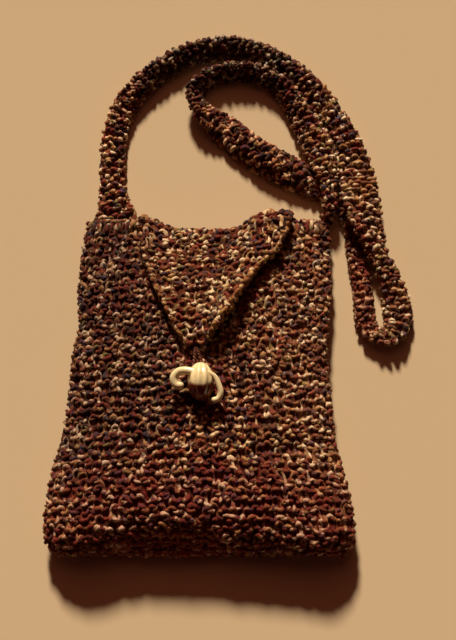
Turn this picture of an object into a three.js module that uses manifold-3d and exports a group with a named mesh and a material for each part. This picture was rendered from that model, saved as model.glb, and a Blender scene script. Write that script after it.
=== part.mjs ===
// A small knitted shoulder bag lying on its back: a hollow pouch, a soft pointed flap closed by a
// yarn loop over a carved toggle, and a long knitted strap laid on the same surface.
// Millimetres, +Z up, +Y towards the mouth. The origin is the middle of the pouch's flat back.
import * as THREE from "three";
import { mergeVertices } from "three/addons/utils/BufferGeometryUtils.js";
import Module from "manifold-3d";

// Cloth and clearances
const KNIT_WALL = 5;
const GAP = 0.3;
const LAID_GAP = 0.6;
const RIM_GAP = 1.5;

// Pouch: one row for each section, from the bottom to the mouth
const POUCH_ROWS = [
  { y: -132, left: -112, right: 112.5, rise: 25 },
  { y: -112, left: -114, right: 112.5, rise: 31.5 },
  { y: -92, left: -113, right: 110.5, rise: 33.5 },
  { y: -70, left: -109.5, right: 105, rise: 32 },
  { y: -45, left: -103.5, right: 100, rise: 30.5 },
  { y: -15, left: -100.5, right: 98, rise: 29 },
  { y: 15, left: -99.5, right: 96, rise: 28 },
  { y: 40, left: -95.5, right: 97.5, rise: 26.5 },
  { y: 70, left: -97, right: 101, rise: 24.5 },
  { y: 100, left: -96, right: 101, rise: 21 },
  { y: 128, left: -93, right: 101, rise: 18 },
];
const POUCH_BOTTOM = -132;
const POUCH_MOUTH = 128;
const BOTTOM_ROUND = 13;
const BOTTOM_WALL = 10;
const SIDE_HEIGHT = 0.42;
const SIDE_WALL = 7;
const BACK_FLATNESS = 1.12;
const SCOOP = { left: -62, leftFoot: -14, rightFoot: 20, right: 55, depth: 15.5, fadeFrom: 70 };
const POUCH_SIDE_POWER = 0.72;
const POUCH_CROWN_POWER = 0.8;
const BOTTOM_TURNS = 4;
const BOTTOM_SHARE = { inset: 0.35, side: 0.8 };
const POUCH_AROUND = 48;
const POUCH_STEP = 14;

// Soft folds in the front: place, half length, half width, turn in degrees and depth.
// A fold with a depth below 0 is a puff, as at the two bottom corners.
// The cloth of a fold is drawn towards the mouth by a share of the fold's depth
const FOLD_PULL = 0.3;
const FRONT_FOLDS = [
  { x: 62, y: -58, long: 34, wide: 7, turn: 8, depth: 3.5 },
  { x: -78, y: -40, long: 26, wide: 8, turn: -14, depth: 2.5 },
  { x: -84, y: 34, long: 20, wide: 9, turn: 20, depth: 2 },
  { x: 74, y: 34, long: 22, wide: 9, turn: -24, depth: 2 },
  { x: -22, y: -134, long: 50, wide: 16, turn: 0, depth: 9.5 },
  { x: -94, y: -121, long: 22, wide: 17, turn: 0, depth: -6 },
  { x: 94, y: -121, long: 22, wide: 17, turn: 0, depth: -7 },
];

// Flap: one row for each step from the crest to the point, with both edges and how far they lift
const FLAP_ROWS = [
  { run: 0, leftX: -48, leftY: 127, rightX: 68, rightY: 128, leftLift: 0, rightLift: 1 },
  { run: 0.2, leftX: -45, leftY: 101, rightX: 58, rightY: 101, leftLift: 0.5, rightLift: 4 },
  { run: 0.4, leftX: -39, leftY: 81, rightX: 42, rightY: 84, leftLift: 1, rightLift: 2.5 },
  { run: 0.6, leftX: -30, leftY: 59, rightX: 29, rightY: 63, leftLift: 1.5, rightLift: 7.5 },
  { run: 0.8, leftX: -21, leftY: 40, rightX: 15, rightY: 41, leftLift: 1.5, rightLift: 10 },
  { run: 0.94, leftX: -14, leftY: 27, rightX: 6, rightY: 28, leftLift: 1, rightLift: 4.5 },
  { run: 1, leftX: -9, leftY: 21, rightX: 1, rightY: 21, leftLift: 0.5, rightLift: 0.5 },
];
const SHOULDER_HUMP = { x: 57, y: 122, spread: 13, height: 3 };
const FLAP_FOOT = 3;
const FLAP_EDGE = 0.35;
const FLAP_EDGE_POWER = 3;
const FLAP_CREST_POWER = 3;
const FLAP_CLIMB = 3;
const FLAP_BEND = 3;
const FLAP_ACROSS = 18;
const FLAP_DOWN = 16;

// Strap: one row for each bend, from the left corner of the mouth round to the right one.
// wide is the band's width, tilt turns its outer edge up in degrees, lift is its height off the surface
// and bow raises its middle, where its edges curl under
const STRAP_THICK = 6.5;
const STRAP_ROWS = [
  { x: -69.7, y: 128.3, wide: 36.5, tilt: 0, lift: 0, bow: 0 },
  { x: -69.9, y: 137, wide: 32, tilt: 0, lift: 0, bow: 1 },
  { x: -72.2, y: 149, wide: 24, tilt: 2, lift: 0, bow: 3 },
  { x: -74, y: 165, wide: 20, tilt: 5, lift: 0, bow: 4 },
  { x: -74.2, y: 188, wide: 19.5, tilt: 10, lift: 0, bow: 4 },
  { x: -72.8, y: 211, wide: 19.5, tilt: 18, lift: 0, bow: 3.5 },
  { x: -64.5, y: 235.5, wide: 19.5, tilt: 28, lift: 0, bow: 2.5 },
  { x: -47.6, y: 258, wide: 19.5, tilt: 36, lift: 0, bow: 2 },
  { x: -23.7, y: 276.5, wide: 19.5, tilt: 40, lift: 0, bow: 1.5 },
  { x: 7, y: 288, wide: 19.5, tilt: 40, lift: 0, bow: 1.5 },
  { x: 36, y: 286.3, wide: 19.5, tilt: 38, lift: 0, bow: 2 },
  { x: 63, y: 273.6, wide: 20, tilt: 30, lift: 0, bow: 3 },
  { x: 87, y: 252.8, wide: 20.5, tilt: 20, lift: 0, bow: 4.5 },
  { x: 105.3, y: 226.3, wide: 22, tilt: 10, lift: 0, bow: 5 },
  { x: 115.5, y: 207, wide: 24, tilt: 3, lift: 0, bow: 4 },
  { x: 121, y: 189, wide: 27, tilt: 0, lift: 0.5, bow: 3 },
  { x: 124, y: 172, wide: 30, tilt: -4, lift: 3, bow: 2 },
  { x: 125.5, y: 156, wide: 31.5, tilt: -8, lift: 6, bow: 1 },
  { x: 127, y: 140, wide: 31, tilt: -13, lift: 7.5, bow: 1 },
  { x: 130.5, y: 124, wide: 26, tilt: -18, lift: 7, bow: 1 },
  { x: 136.5, y: 106, wide: 19, tilt: -22, lift: 5, bow: 1 },
  { x: 145.5, y: 86, wide: 17, tilt: -14, lift: 1.5, bow: 2 },
  { x: 151, y: 68, wide: 20.5, tilt: 0, lift: 0, bow: 3.5 },
  { x: 152.8, y: 52, wide: 21.5, tilt: 8, lift: 0, bow: 3.5 },
  { x: 150, y: 40, wide: 19, tilt: 18, lift: 0, bow: 2 },
  { x: 140.5, y: 34, wide: 15, tilt: 26, lift: 0, bow: 1 },
  { x: 130.5, y: 39.5, wide: 14.5, tilt: 20, lift: 0, bow: 1.5 },
  { x: 126.8, y: 51, wide: 14.5, tilt: 8, lift: 0, bow: 3 },
  { x: 126.2, y: 66, wide: 14.5, tilt: 6, lift: 0, bow: 3 },
  { x: 124.8, y: 86, wide: 14.5, tilt: 4, lift: 0, bow: 2 },
  { x: 122.8, y: 104, wide: 15.5, tilt: 0, lift: 0, bow: 0 },
  { x: 121.8, y: 118, wide: 15.5, tilt: 0, lift: 0, bow: 0 },
  { x: 119.6, y: 134, wide: 16.5, tilt: 0, lift: 0, bow: 0 },
  { x: 110.5, y: 152, wide: 20, tilt: -2, lift: 0, bow: 1 },
  { x: 91.5, y: 163.5, wide: 24, tilt: -6, lift: 0, bow: 4 },
  { x: 65.5, y: 177.5, wide: 26, tilt: -9, lift: 0, bow: 7 },
  { x: 41.1, y: 193.2, wide: 27, tilt: -6, lift: 0, bow: 7 },
  { x: 18, y: 213.5, wide: 26, tilt: 4, lift: 0, bow: 5 },
  { x: -2, y: 231, wide: 21, tilt: 38, lift: 0, bow: 2 },
  { x: -8, y: 246, wide: 18, tilt: 56, lift: 0, bow: 1 },
  { x: 2, y: 258.5, wide: 17.5, tilt: 58, lift: 0, bow: 0.5 },
  { x: 22, y: 265, wide: 17.5, tilt: 58, lift: 0, bow: 0.5 },
  { x: 43, y: 263.5, wide: 17.5, tilt: 56, lift: 0, bow: 0.5 },
  { x: 61, y: 254, wide: 18, tilt: 50, lift: 0, bow: 1 },
  { x: 74.5, y: 236, wide: 20, tilt: 38, lift: 0, bow: 2 },
  { x: 86, y: 213, wide: 23, tilt: 24, lift: 2, bow: 3 },
  { x: 94, y: 190, wide: 23.5, tilt: 18, lift: 6.5, bow: 2 },
  { x: 98.5, y: 173, wide: 18, tilt: 15, lift: 10.5, bow: 1 },
  { x: 100.8, y: 157, wide: 11, tilt: 10, lift: 11.5, bow: 0 },
  { x: 101, y: 141, wide: 9.5, tilt: 6, lift: 9.5, bow: 0 },
  { x: 98.5, y: 128.4, wide: 11, tilt: 0, lift: 4, bow: 0 },
];
const STRAP_EDGE_POWER = { wide: 0.6, thick: 0.75 };
const STRAP_STEPS = 116;
const STRAP_SIDES = 12;

// Toggle: a ribbed bead with two curled ends, seen from above about the bead's middle
const TOGGLE_PLACE = { x: -0.2, y: -2.8 };
const BEAD = { across: 19.6, along: 29, crown: 13, base: 1.5, aside: -5.9, stand: 3.7, bands: 12 };
const BEAD_RIBS = { count: 11, depth: 0.035, faces: 3 };
const LEFT_CURL = [
  { x: -4, y: -0.7, z: 7 },
  { x: -10.5, y: 0.9, z: 6 },
  { x: -16, y: 0.4, z: 5 },
  { x: -19.6, y: -3.8, z: 4 },
  { x: -18, y: -8.8, z: 3 },
  { x: -12, y: -9.8, z: 3 },
];
const RIGHT_CURL = [
  { x: 5, y: -0.7, z: 7 },
  { x: 10, y: -3.4, z: 5.5 },
  { x: 13.4, y: -9.4, z: 4.5 },
  { x: 14.8, y: -15.4, z: 3.5 },
  { x: 13, y: -19.6, z: 2.5 },
  { x: 9.4, y: -20.6, z: 2 },
];
const LEFT_CURL_THICK = 5.4;
const RIGHT_CURL_THICK = 4.2;
const CURL_STEPS = 14;
const CURL_SIDES = 10;
const CURL_END_BANDS = 6;
const SHANK = { thick: 4, sides: 12 };
const LOOP = { thick: 2.6, reach: 7.7, neck: 1.7, tail: 4.3, steps: 36, sides: 8 };

const KNIT_COLOUR = 0x4d2a1e;
const CORD_COLOUR = 0x6e2f22;
const IVORY_COLOUR = 0xeccf95;
const YARN_ROUGHNESS = 0.95;
const IVORY_ROUGHNESS = 0.35;
// Corners closer than this are one corner
const WELD = 1e-4;
// Fused pieces are tidied by no more than this
const SLIVER = 0.02;

const wasm = await Module();
wasm.setup();

// A table as a smooth function of its key column
function smoothTable(rows, key) {
  const columns = Object.keys(rows[0]).filter((column) => column !== key);
  const values = rows.flatMap((row) => columns.map((column) => row[column]));
  const spline = new THREE.CubicInterpolant(rows.map((row) => row[key]), values, columns.length);
  return (at) => {
    const found = spline.evaluate(at);
    return Object.fromEntries(columns.map((column, i) => [column, found[i]]));
  };
}

const signedPower = (value, power) => Math.sign(value) * Math.abs(value) ** power;

// A closed body through rings of equal count, closed on itself or across both end rings.
// Points of a ring that lie opposite each other count alike from its first point, one each way
function skinRings(rings, closed = false) {
  const count = rings[0].length;
  const points = rings.flat();
  const faces = [];
  const spans = closed ? rings.length : rings.length - 1;
  for (let r = 0; r < spans; r++) {
    const here = r * count;
    const next = ((r + 1) % rings.length) * count;
    for (let i = 0; i < count; i++) {
      const j = (i + 1) % count;
      faces.push(here + i, here + j, next + j, here + i, next + j, next + i);
    }
  }
  if (!closed) {
    for (const start of [0, (rings.length - 1) * count]) {
      for (let i = 0; i < count / 2; i++) {
        const here = start + i;
        const next = here + 1;
        const opposite = start + ((count - i) % count);
        const before = start + count - i - 1;
        const across = [];
        if (next !== before) across.push(here, next, before);
        if (opposite !== here) across.push(here, before, opposite);
        faces.push(...(start ? across : across.reverse()));
      }
    }
  }
  const geometry = new THREE.BufferGeometry().setFromPoints(points);
  geometry.setIndex(faces);
  return geometry;
}

// Pouch

const pouchAt = smoothTable(POUCH_ROWS, "y");

function scoopAt(x, y) {
  const { smoothstep } = THREE.MathUtils;
  const fade = smoothstep(y, SCOOP.fadeFrom, POUCH_MOUTH);
  const across = smoothstep(x, SCOOP.left, SCOOP.leftFoot) - smoothstep(x, SCOOP.rightFoot, SCOOP.right);
  return SCOOP.depth * across * fade;
}

function foldAt(x, y) {
  let depth = 0;
  for (const fold of FRONT_FOLDS) {
    const turn = THREE.MathUtils.degToRad(fold.turn);
    const along = (x - fold.x) * Math.cos(turn) + (y - fold.y) * Math.sin(turn);
    const aside = (y - fold.y) * Math.cos(turn) - (x - fold.x) * Math.sin(turn);
    depth += fold.depth * Math.exp(-((along / fold.long) ** 2) - (aside / fold.wide) ** 2);
  }
  return depth;
}

// One ring of the pouch: flat below, rounded at the sides and crowned above, drawn in by the inset
function pouchRing(y, inset, sideInset) {
  const { left, right, rise } = pouchAt(y);
  const middle = (left + right) / 2;
  const half = (right - left) / 2 - sideInset;
  const side = rise * SIDE_HEIGHT;
  return Array.from({ length: POUCH_AROUND }, (_, i) => {
    const angle = -(i / POUCH_AROUND) * Math.PI * 2;
    const x = middle + half * signedPower(Math.cos(angle), POUCH_SIDE_POWER);
    const up = signedPower(Math.sin(angle), POUCH_CROWN_POWER);
    const fold = foldAt(x, y) * Math.max(0, up);
    const crown = side + (rise - inset - side) * up - fold;
    const back = Math.max(inset, side + (side - inset) * BACK_FLATNESS * up);
    return new THREE.Vector3(x, y - scoopAt(x, y) + fold * FOLD_PULL, up >= 0 ? crown : back);
  });
}

// Rings from the rounded bottom end up to the mouth, for the outside or the inside of the cloth
function pouchRings(wall) {
  const rings = [];
  const sideWall = wall && SIDE_WALL;
  const bottom = POUCH_BOTTOM + (wall && BOTTOM_WALL);
  for (let k = 0; k < BOTTOM_TURNS; k++) {
    const angle = (k / BOTTOM_TURNS) * (Math.PI / 2);
    const drawnIn = BOTTOM_ROUND * (1 - Math.sin(angle));
    const y = bottom + BOTTOM_ROUND * (1 - Math.cos(angle));
    rings.push(pouchRing(y, wall + drawnIn * BOTTOM_SHARE.inset, sideWall + drawnIn * BOTTOM_SHARE.side));
  }
  const start = bottom + BOTTOM_ROUND;
  const steps = Math.round((POUCH_MOUTH - start) / POUCH_STEP);
  for (let k = 0; k <= steps; k++) {
    rings.push(pouchRing(start + ((POUCH_MOUTH - start) * k) / steps, wall, sideWall));
  }
  return rings;
}

function makePouch() {
  return skinRings([...pouchRings(0), ...pouchRings(KNIT_WALL).reverse()]);
}

// Height of the pouch's front at a place on it
function frontHeight(x, y) {
  const row = y + scoopAt(x, y + scoopAt(x, y));
  const { left, right, rise } = pouchAt(row);
  const across = Math.min(1, Math.abs(x - (left + right) / 2) / ((right - left) / 2));
  const up = Math.sqrt(1 - across ** (2 / POUCH_SIDE_POWER)) ** POUCH_CROWN_POWER;
  const side = rise * SIDE_HEIGHT;
  return side + (rise - side) * up - foldAt(x, row) * up;
}

// Flap

const flapAt = smoothTable(FLAP_ROWS, "run");
const flapStand = LAID_GAP + KNIT_WALL / 2;

const rimAt = (x) => POUCH_MOUTH - scoopAt(x, POUCH_MOUTH);
// How much further along Y the flap stands off where the rim runs at a slant
const rimSlant = (x) => Math.hypot(1, (rimAt(x + 1) - rimAt(x - 1)) / 2);

function humpAt(x, y) {
  const away = ((x - SHOULDER_HUMP.x) ** 2 + (y - SHOULDER_HUMP.y) ** 2) / SHOULDER_HUMP.spread ** 2;
  return SHOULDER_HUMP.height * Math.exp(-away);
}

// Middle of the flap's cloth where it lies on the front, at a run down it and a share across it
function flapPoint(run, share) {
  const { lerp } = THREE.MathUtils;
  const row = flapAt(run);
  const x = lerp(row.leftX, row.rightX, share);
  const rim = rimAt(lerp(FLAP_ROWS[0].leftX, FLAP_ROWS[0].rightX, share));
  const straight = lerp(FLAP_ROWS[0].leftY, FLAP_ROWS[0].rightY, share);
  const y = lerp(row.leftY, row.rightY, share) + (rim - straight) * (1 - run) ** FLAP_CREST_POWER;
  const rightLift = row.rightLift * share ** FLAP_EDGE_POWER;
  const leftLift = row.leftLift * (1 - share) ** FLAP_EDGE_POWER;
  return new THREE.Vector3(x, y, frontHeight(x, y) + flapStand + rightLift + leftLift + humpAt(x, y));
}

// The flap's cloth from its foot at the back edge, up over the mouth and down the front to its point
function flapGrid() {
  const columns = Array.from({ length: FLAP_ACROSS + 1 }, (_, j) => j / FLAP_ACROSS);
  const steps = (count) => Array.from({ length: count }, (_, i) => i / count);
  const front = [...steps(FLAP_DOWN), 1].map((run) => columns.map((share) => flapPoint(run, share)));
  const bend = steps(FLAP_BEND).map((turned) => front[0].map((top) => {
    const angle = (turned * Math.PI) / 2;
    const up = (Math.sin(angle) - 1) * flapStand;
    const out = Math.cos(angle) * (RIM_GAP + KNIT_WALL / 2) * rimSlant(top.x);
    return new THREE.Vector3(top.x, top.y + out, top.z + up);
  }));
  const climb = steps(FLAP_CLIMB).map((climbed) => bend[0].map((top) => {
    return top.clone().setZ(THREE.MathUtils.lerp(FLAP_FOOT, top.z, climbed));
  }));
  return [...climb, ...bend, ...front];
}

// A closed sheet of even thickness about a grid of points, with soft edges
function thickenGrid(grid, thick) {
  const rows = grid.length;
  const across = grid[0].length;
  const at = (i, j) => grid[THREE.MathUtils.clamp(i, 0, rows - 1)][THREE.MathUtils.clamp(j, 0, across - 1)];
  const normal = (i, j) => new THREE.Vector3()
    .subVectors(at(i, j + 1), at(i, j - 1))
    .cross(new THREE.Vector3().subVectors(at(i - 1, j), at(i + 1, j)))
    .normalize();
  const rings = grid.map((line, i) => {
    const outward = new THREE.Vector3().subVectors(at(i, across - 1), at(i, 0));
    outward.setLength(thick * FLAP_EDGE);
    const upper = line.map((point, j) => point.clone().addScaledVector(normal(i, j), thick / 2));
    const lower = line.map((point, j) => point.clone().addScaledVector(normal(i, j), -thick / 2));
    const rightEdge = line.at(-1).clone().add(outward);
    const leftEdge = line[0].clone().sub(outward);
    return [leftEdge, ...lower, rightEdge, ...upper.reverse()];
  });
  return skinRings(rings);
}

// Strap

// The band's rings along its route, each turned by its tilt and set down to its lift
function strapRings() {
  let run = 0;
  const rows = STRAP_ROWS.map((row, i) => {
    const before = STRAP_ROWS[Math.max(0, i - 1)];
    run += Math.hypot(row.x - before.x, row.y - before.y);
    return { run, ...row };
  });
  const strapAt = smoothTable(rows, "run");
  return Array.from({ length: STRAP_STEPS + 1 }, (_, k) => {
    const here = (run * k) / STRAP_STEPS;
    const row = strapAt(here);
    const ahead = strapAt(Math.min(run, here + 1));
    const behind = strapAt(Math.max(0, here - 1));
    const travel = new THREE.Vector3(ahead.x - behind.x, ahead.y - behind.y, 0).normalize();
    // Both ends are cut square to the mouth
    if (k === 0) travel.set(0, 1, 0);
    if (k === STRAP_STEPS) travel.set(0, -1, 0);
    const aside = new THREE.Vector3(-travel.y, travel.x, 0);
    const tilt = THREE.MathUtils.degToRad(row.tilt);
    const ring = Array.from({ length: STRAP_SIDES }, (_, i) => {
      const angle = (i / STRAP_SIDES) * Math.PI * 2;
      const across = signedPower(Math.cos(angle), STRAP_EDGE_POWER.wide);
      const through = signedPower(Math.sin(angle), STRAP_EDGE_POWER.thick);
      const wide = (row.wide / 2) * across;
      const thick = (STRAP_THICK / 2) * through + row.bow * (1 - across ** 2);
      const level = wide * Math.cos(tilt) - thick * Math.sin(tilt);
      const height = wide * Math.sin(tilt) + thick * Math.cos(tilt);
      return new THREE.Vector3(row.x, row.y, height).addScaledVector(aside, level);
    });
    const lowest = Math.min(...ring.map((point) => point.z));
    return ring.map((point) => point.setZ(point.z - lowest + Math.max(0, row.lift)));
  });
}

// Toggle, its shank and the loop

const toggleSeat = frontHeight(TOGGLE_PLACE.x, TOGGLE_PLACE.y);
// The bead stands off the cloth, with room for the loop round the shank under it
const beadHeight = toggleSeat + BEAD.stand + BEAD.base;
const shankTall = BEAD.stand - 2 * GAP;

function toSolid(geometry) {
  const bare = geometry.clone();
  bare.deleteAttribute("normal");
  bare.deleteAttribute("uv");
  const merged = mergeVertices(bare, WELD);
  return new wasm.Manifold(new wasm.Mesh({
    numProp: 3,
    vertProperties: new Float32Array(merged.attributes.position.array),
    triVerts: new Uint32Array(merged.index.array),
  }));
}

function fromSolid(solid) {
  const mesh = solid.getMesh();
  const geometry = new THREE.BufferGeometry();
  geometry.setAttribute("position", new THREE.BufferAttribute(new Float32Array(mesh.vertProperties), 3));
  geometry.setIndex(Array.from(mesh.triVerts));
  return geometry;
}

// The bead's ribs run between its two poles. It is domed above and nearly flat below, and its middle
// lies further down the bag than the shank
function makeBead() {
  const bead = new THREE.SphereGeometry(1, BEAD_RIBS.count * BEAD_RIBS.faces, BEAD.bands);
  const place = bead.attributes.position;
  for (let i = 0; i < place.count; i++) {
    const around = Math.atan2(place.getZ(i), place.getX(i));
    const rib = 1 + BEAD_RIBS.depth * Math.cos(around * BEAD_RIBS.count);
    const tall = place.getZ(i) > 0 ? BEAD.crown : BEAD.base;
    place.setXYZ(
      i,
      place.getX(i) * rib * (BEAD.across / 2),
      place.getY(i) * (BEAD.along / 2),
      place.getZ(i) * rib * tall,
    );
  }
  return bead.translate(0, BEAD.aside, 0);
}

// A round horn along its points, with a rounded free end
function makeCurl(points, thick) {
  const route = new THREE.CatmullRomCurve3(points.map(({ x, y, z }) => new THREE.Vector3(x, y, z)));
  const section = new THREE.Shape().absarc(0, 0, thick / 2, 0, Math.PI * 2);
  const tube = new THREE.ExtrudeGeometry(section, {
    steps: CURL_STEPS,
    curveSegments: CURL_SIDES / 2,
    extrudePath: route,
  });
  const { x, y, z } = points.at(-1);
  const end = new THREE.SphereGeometry(thick / 2, CURL_SIDES, CURL_END_BANDS).translate(x, y, z);
  return toSolid(tube).add(toSolid(end));
}

function makeToggle() {
  const left = makeCurl(LEFT_CURL, LEFT_CURL_THICK);
  const right = makeCurl(RIGHT_CURL, RIGHT_CURL_THICK);
  const fused = toSolid(makeBead()).add(left).add(right);
  return fromSolid(fused.simplify(SLIVER));
}

// A drop-shaped ring of cord, narrow at the flap's point and wide round the shank
function makeLoop() {
  const tip = flapPoint(1, 0.5);
  const top = new THREE.Vector2(tip.x, tip.y - LOOP.thick / 2 - LAID_GAP);
  const shank = new THREE.Vector2(TOGGLE_PLACE.x, TOGGLE_PLACE.y);
  const { steps, sides } = LOOP;
  const centres = Array.from({ length: steps }, (_, k) => {
    const angle = (k / steps) * Math.PI * 2;
    const share = (1 - Math.cos(angle)) / 2;
    const wide = THREE.MathUtils.lerp(LOOP.neck, LOOP.reach, share ** 2);
    const y = THREE.MathUtils.lerp(top.y, shank.y - LOOP.tail, share);
    const x = THREE.MathUtils.lerp(top.x, shank.x, share) + wide * Math.sin(angle);
    return new THREE.Vector3(x, y, frontHeight(x, y) + LOOP.thick / 2 + LAID_GAP);
  });
  const rings = centres.map((centre, k) => {
    const travel = new THREE.Vector3()
      .subVectors(centres[(k + 1) % steps], centres[(k + steps - 1) % steps])
      .normalize();
    const aside = new THREE.Vector3(-travel.y, travel.x, 0).normalize();
    const up = new THREE.Vector3().crossVectors(travel, aside);
    return Array.from({ length: sides }, (_, i) => {
      const angle = (i / sides) * Math.PI * 2;
      return centre.clone()
        .addScaledVector(aside, (LOOP.thick / 2) * Math.cos(angle))
        .addScaledVector(up, (LOOP.thick / 2) * Math.sin(angle));
    });
  });
  return skinRings(rings, true);
}

// Materials and the assembled bag

const knit = new THREE.MeshStandardMaterial({ color: KNIT_COLOUR, roughness: YARN_ROUGHNESS });
const cord = new THREE.MeshStandardMaterial({ color: CORD_COLOUR, roughness: YARN_ROUGHNESS });
const ivory = new THREE.MeshStandardMaterial({ color: IVORY_COLOUR, roughness: IVORY_ROUGHNESS });

const bag = new THREE.Group();

function addPart(name, geometry, material) {
  const mesh = new THREE.Mesh(geometry, material);
  mesh.name = name;
  bag.add(mesh);
  return mesh;
}

addPart("pouch", makePouch(), knit);
addPart("flap", thickenGrid(flapGrid(), KNIT_WALL), knit);
addPart("strap", skinRings(strapRings()), knit);
addPart("button_loop", makeLoop(), cord);

const post = new THREE.CylinderGeometry(SHANK.thick / 2, SHANK.thick / 2, shankTall, SHANK.sides);
const shank = addPart("toggle_shank", post, cord);
shank.rotation.x = Math.PI / 2;
shank.position.set(TOGGLE_PLACE.x, TOGGLE_PLACE.y, toggleSeat + GAP + shankTall / 2);

const toggle = addPart("toggle", makeToggle(), ivory);
toggle.position.set(TOGGLE_PLACE.x, TOGGLE_PLACE.y, beadHeight);

export default bag;
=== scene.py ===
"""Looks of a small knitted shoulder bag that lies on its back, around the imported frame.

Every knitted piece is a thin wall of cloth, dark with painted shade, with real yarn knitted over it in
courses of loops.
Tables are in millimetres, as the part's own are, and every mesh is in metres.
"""

import math

import bmesh
import bpy
import numpy as np
from mathutils import Matrix, Vector


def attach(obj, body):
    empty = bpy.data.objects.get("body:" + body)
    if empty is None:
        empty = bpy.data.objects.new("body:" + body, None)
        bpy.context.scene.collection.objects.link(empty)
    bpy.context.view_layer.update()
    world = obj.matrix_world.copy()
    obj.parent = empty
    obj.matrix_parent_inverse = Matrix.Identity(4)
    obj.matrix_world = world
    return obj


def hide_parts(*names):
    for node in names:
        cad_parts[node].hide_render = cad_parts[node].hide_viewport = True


bl_info = {
    "name": "Knit Bag",
    "version": (1, 0, 0),
    "blender": (4, 5, 0),
    "location": "View3D > Sidebar > Knit Bag",
    "description": "Knits a small shoulder bag with a flap, a toggle and a strap",
    "category": "Object",
}

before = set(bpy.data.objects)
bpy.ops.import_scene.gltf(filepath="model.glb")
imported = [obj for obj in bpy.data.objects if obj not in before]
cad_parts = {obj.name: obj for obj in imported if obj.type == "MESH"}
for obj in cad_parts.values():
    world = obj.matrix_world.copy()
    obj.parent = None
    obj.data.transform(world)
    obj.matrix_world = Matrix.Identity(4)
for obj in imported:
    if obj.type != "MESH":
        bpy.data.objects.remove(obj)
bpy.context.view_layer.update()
MM = 0.001
BODY = "root"

# Cloth
KNIT_WALL = 5.0
LAID_GAP = 0.6
RIM_GAP = 1.5

# Pouch: one row for each section, from the bottom to the mouth
POUCH_COLUMNS = ("y", "left", "right", "rise")
POUCH_ROWS = (
    (-132, -112, 112.5, 25),
    (-112, -114, 112.5, 31.5),
    (-92, -113, 110.5, 33.5),
    (-70, -109.5, 105, 32),
    (-45, -103.5, 100, 30.5),
    (-15, -100.5, 98, 29),
    (15, -99.5, 96, 28),
    (40, -95.5, 97.5, 26.5),
    (70, -97, 101, 24.5),
    (100, -96, 101, 21),
    (128, -93, 101, 18),
)
POUCH_BOTTOM = -132.0
POUCH_MOUTH = 128.0
BOTTOM_ROUND = 13.0
BOTTOM_WALL = 10.0
BOTTOM_INSET_SHARE = 0.35
BOTTOM_SIDE_SHARE = 0.8
SIDE_HEIGHT = 0.42
SIDE_WALL = 7.0
BACK_FLATNESS = 1.12
POUCH_SIDE_POWER = 0.72
POUCH_CROWN_POWER = 0.8
SCOOP_LEFT = (-62, -14)
SCOOP_RIGHT = (20, 55)
SCOOP_DEPTH = 15.5
SCOOP_FADE_FROM = 70
# The rim is rounded over insets from the outer face, each with how far it stands out of the mouth
RIM_ROUND = ((0.7, 1.2), (2.5, 1.8), (4.3, 1.2))
RIM_SIDE_SHARE = 1.2
# Stitches go on inside the mouth to these depths, and close the foot over these shares of its height
INSIDE_DEPTHS = (0, 5, 12)
CAP_SHARES = (0.04, 0.5)

# Soft folds in the front: place, half length, half width, turn in degrees and depth, less than 0 for a puff
FOLD_COLUMNS = ("x", "y", "long", "wide", "turn", "depth")
FRONT_FOLDS = (
    (62, -58, 34, 7, 8, 3.5),
    (-78, -40, 26, 8, -14, 2.5),
    (-84, 34, 20, 9, 20, 2),
    (74, 34, 22, 9, -24, 2),
    (-22, -134, 50, 16, 0, 9.5),
    (-94, -121, 22, 17, 0, -6),
    (94, -121, 22, 17, 0, -7),
)
# The cloth of a fold is drawn towards the mouth by this share of the fold's depth
FOLD_PULL = 0.3

# Flap: one row for each step from the crest to the point, with both edges and how far they lift
FLAP_COLUMNS = ("run", "left_x", "left_y", "right_x", "right_y", "left_lift", "right_lift")
FLAP_ROWS = (
    (0, -48, 127, 68, 128, 0, 1),
    (0.2, -45, 101, 58, 101, 0.5, 4),
    (0.4, -39, 81, 42, 84, 1, 2.5),
    (0.6, -30, 59, 29, 63, 1.5, 7.5),
    (0.8, -21, 40, 15, 41, 1.5, 10),
    (0.94, -14, 27, 6, 28, 1, 4.5),
    (1, -9, 21, 1, 21, 0.5, 0.5),
)
HUMP_PLACE = (57, 122)
HUMP_SPREAD = 13
HUMP_HEIGHT = 3
FLAP_FOOT = 3
FLAP_EDGE_POWER = 3
FLAP_CREST_POWER = 3
# Both edges are rounded over these turns in degrees from the upper face
FLAP_EDGE_TURNS = (150, 110, 75, 40)
# The selvage goes along both edges from a row of the flap's cloth, over its own turns
SELVAGE_FROM = 14
SELVAGE_TURNS = (30, 70, 110, 150)
SELVAGE_COURSES = 1

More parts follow.
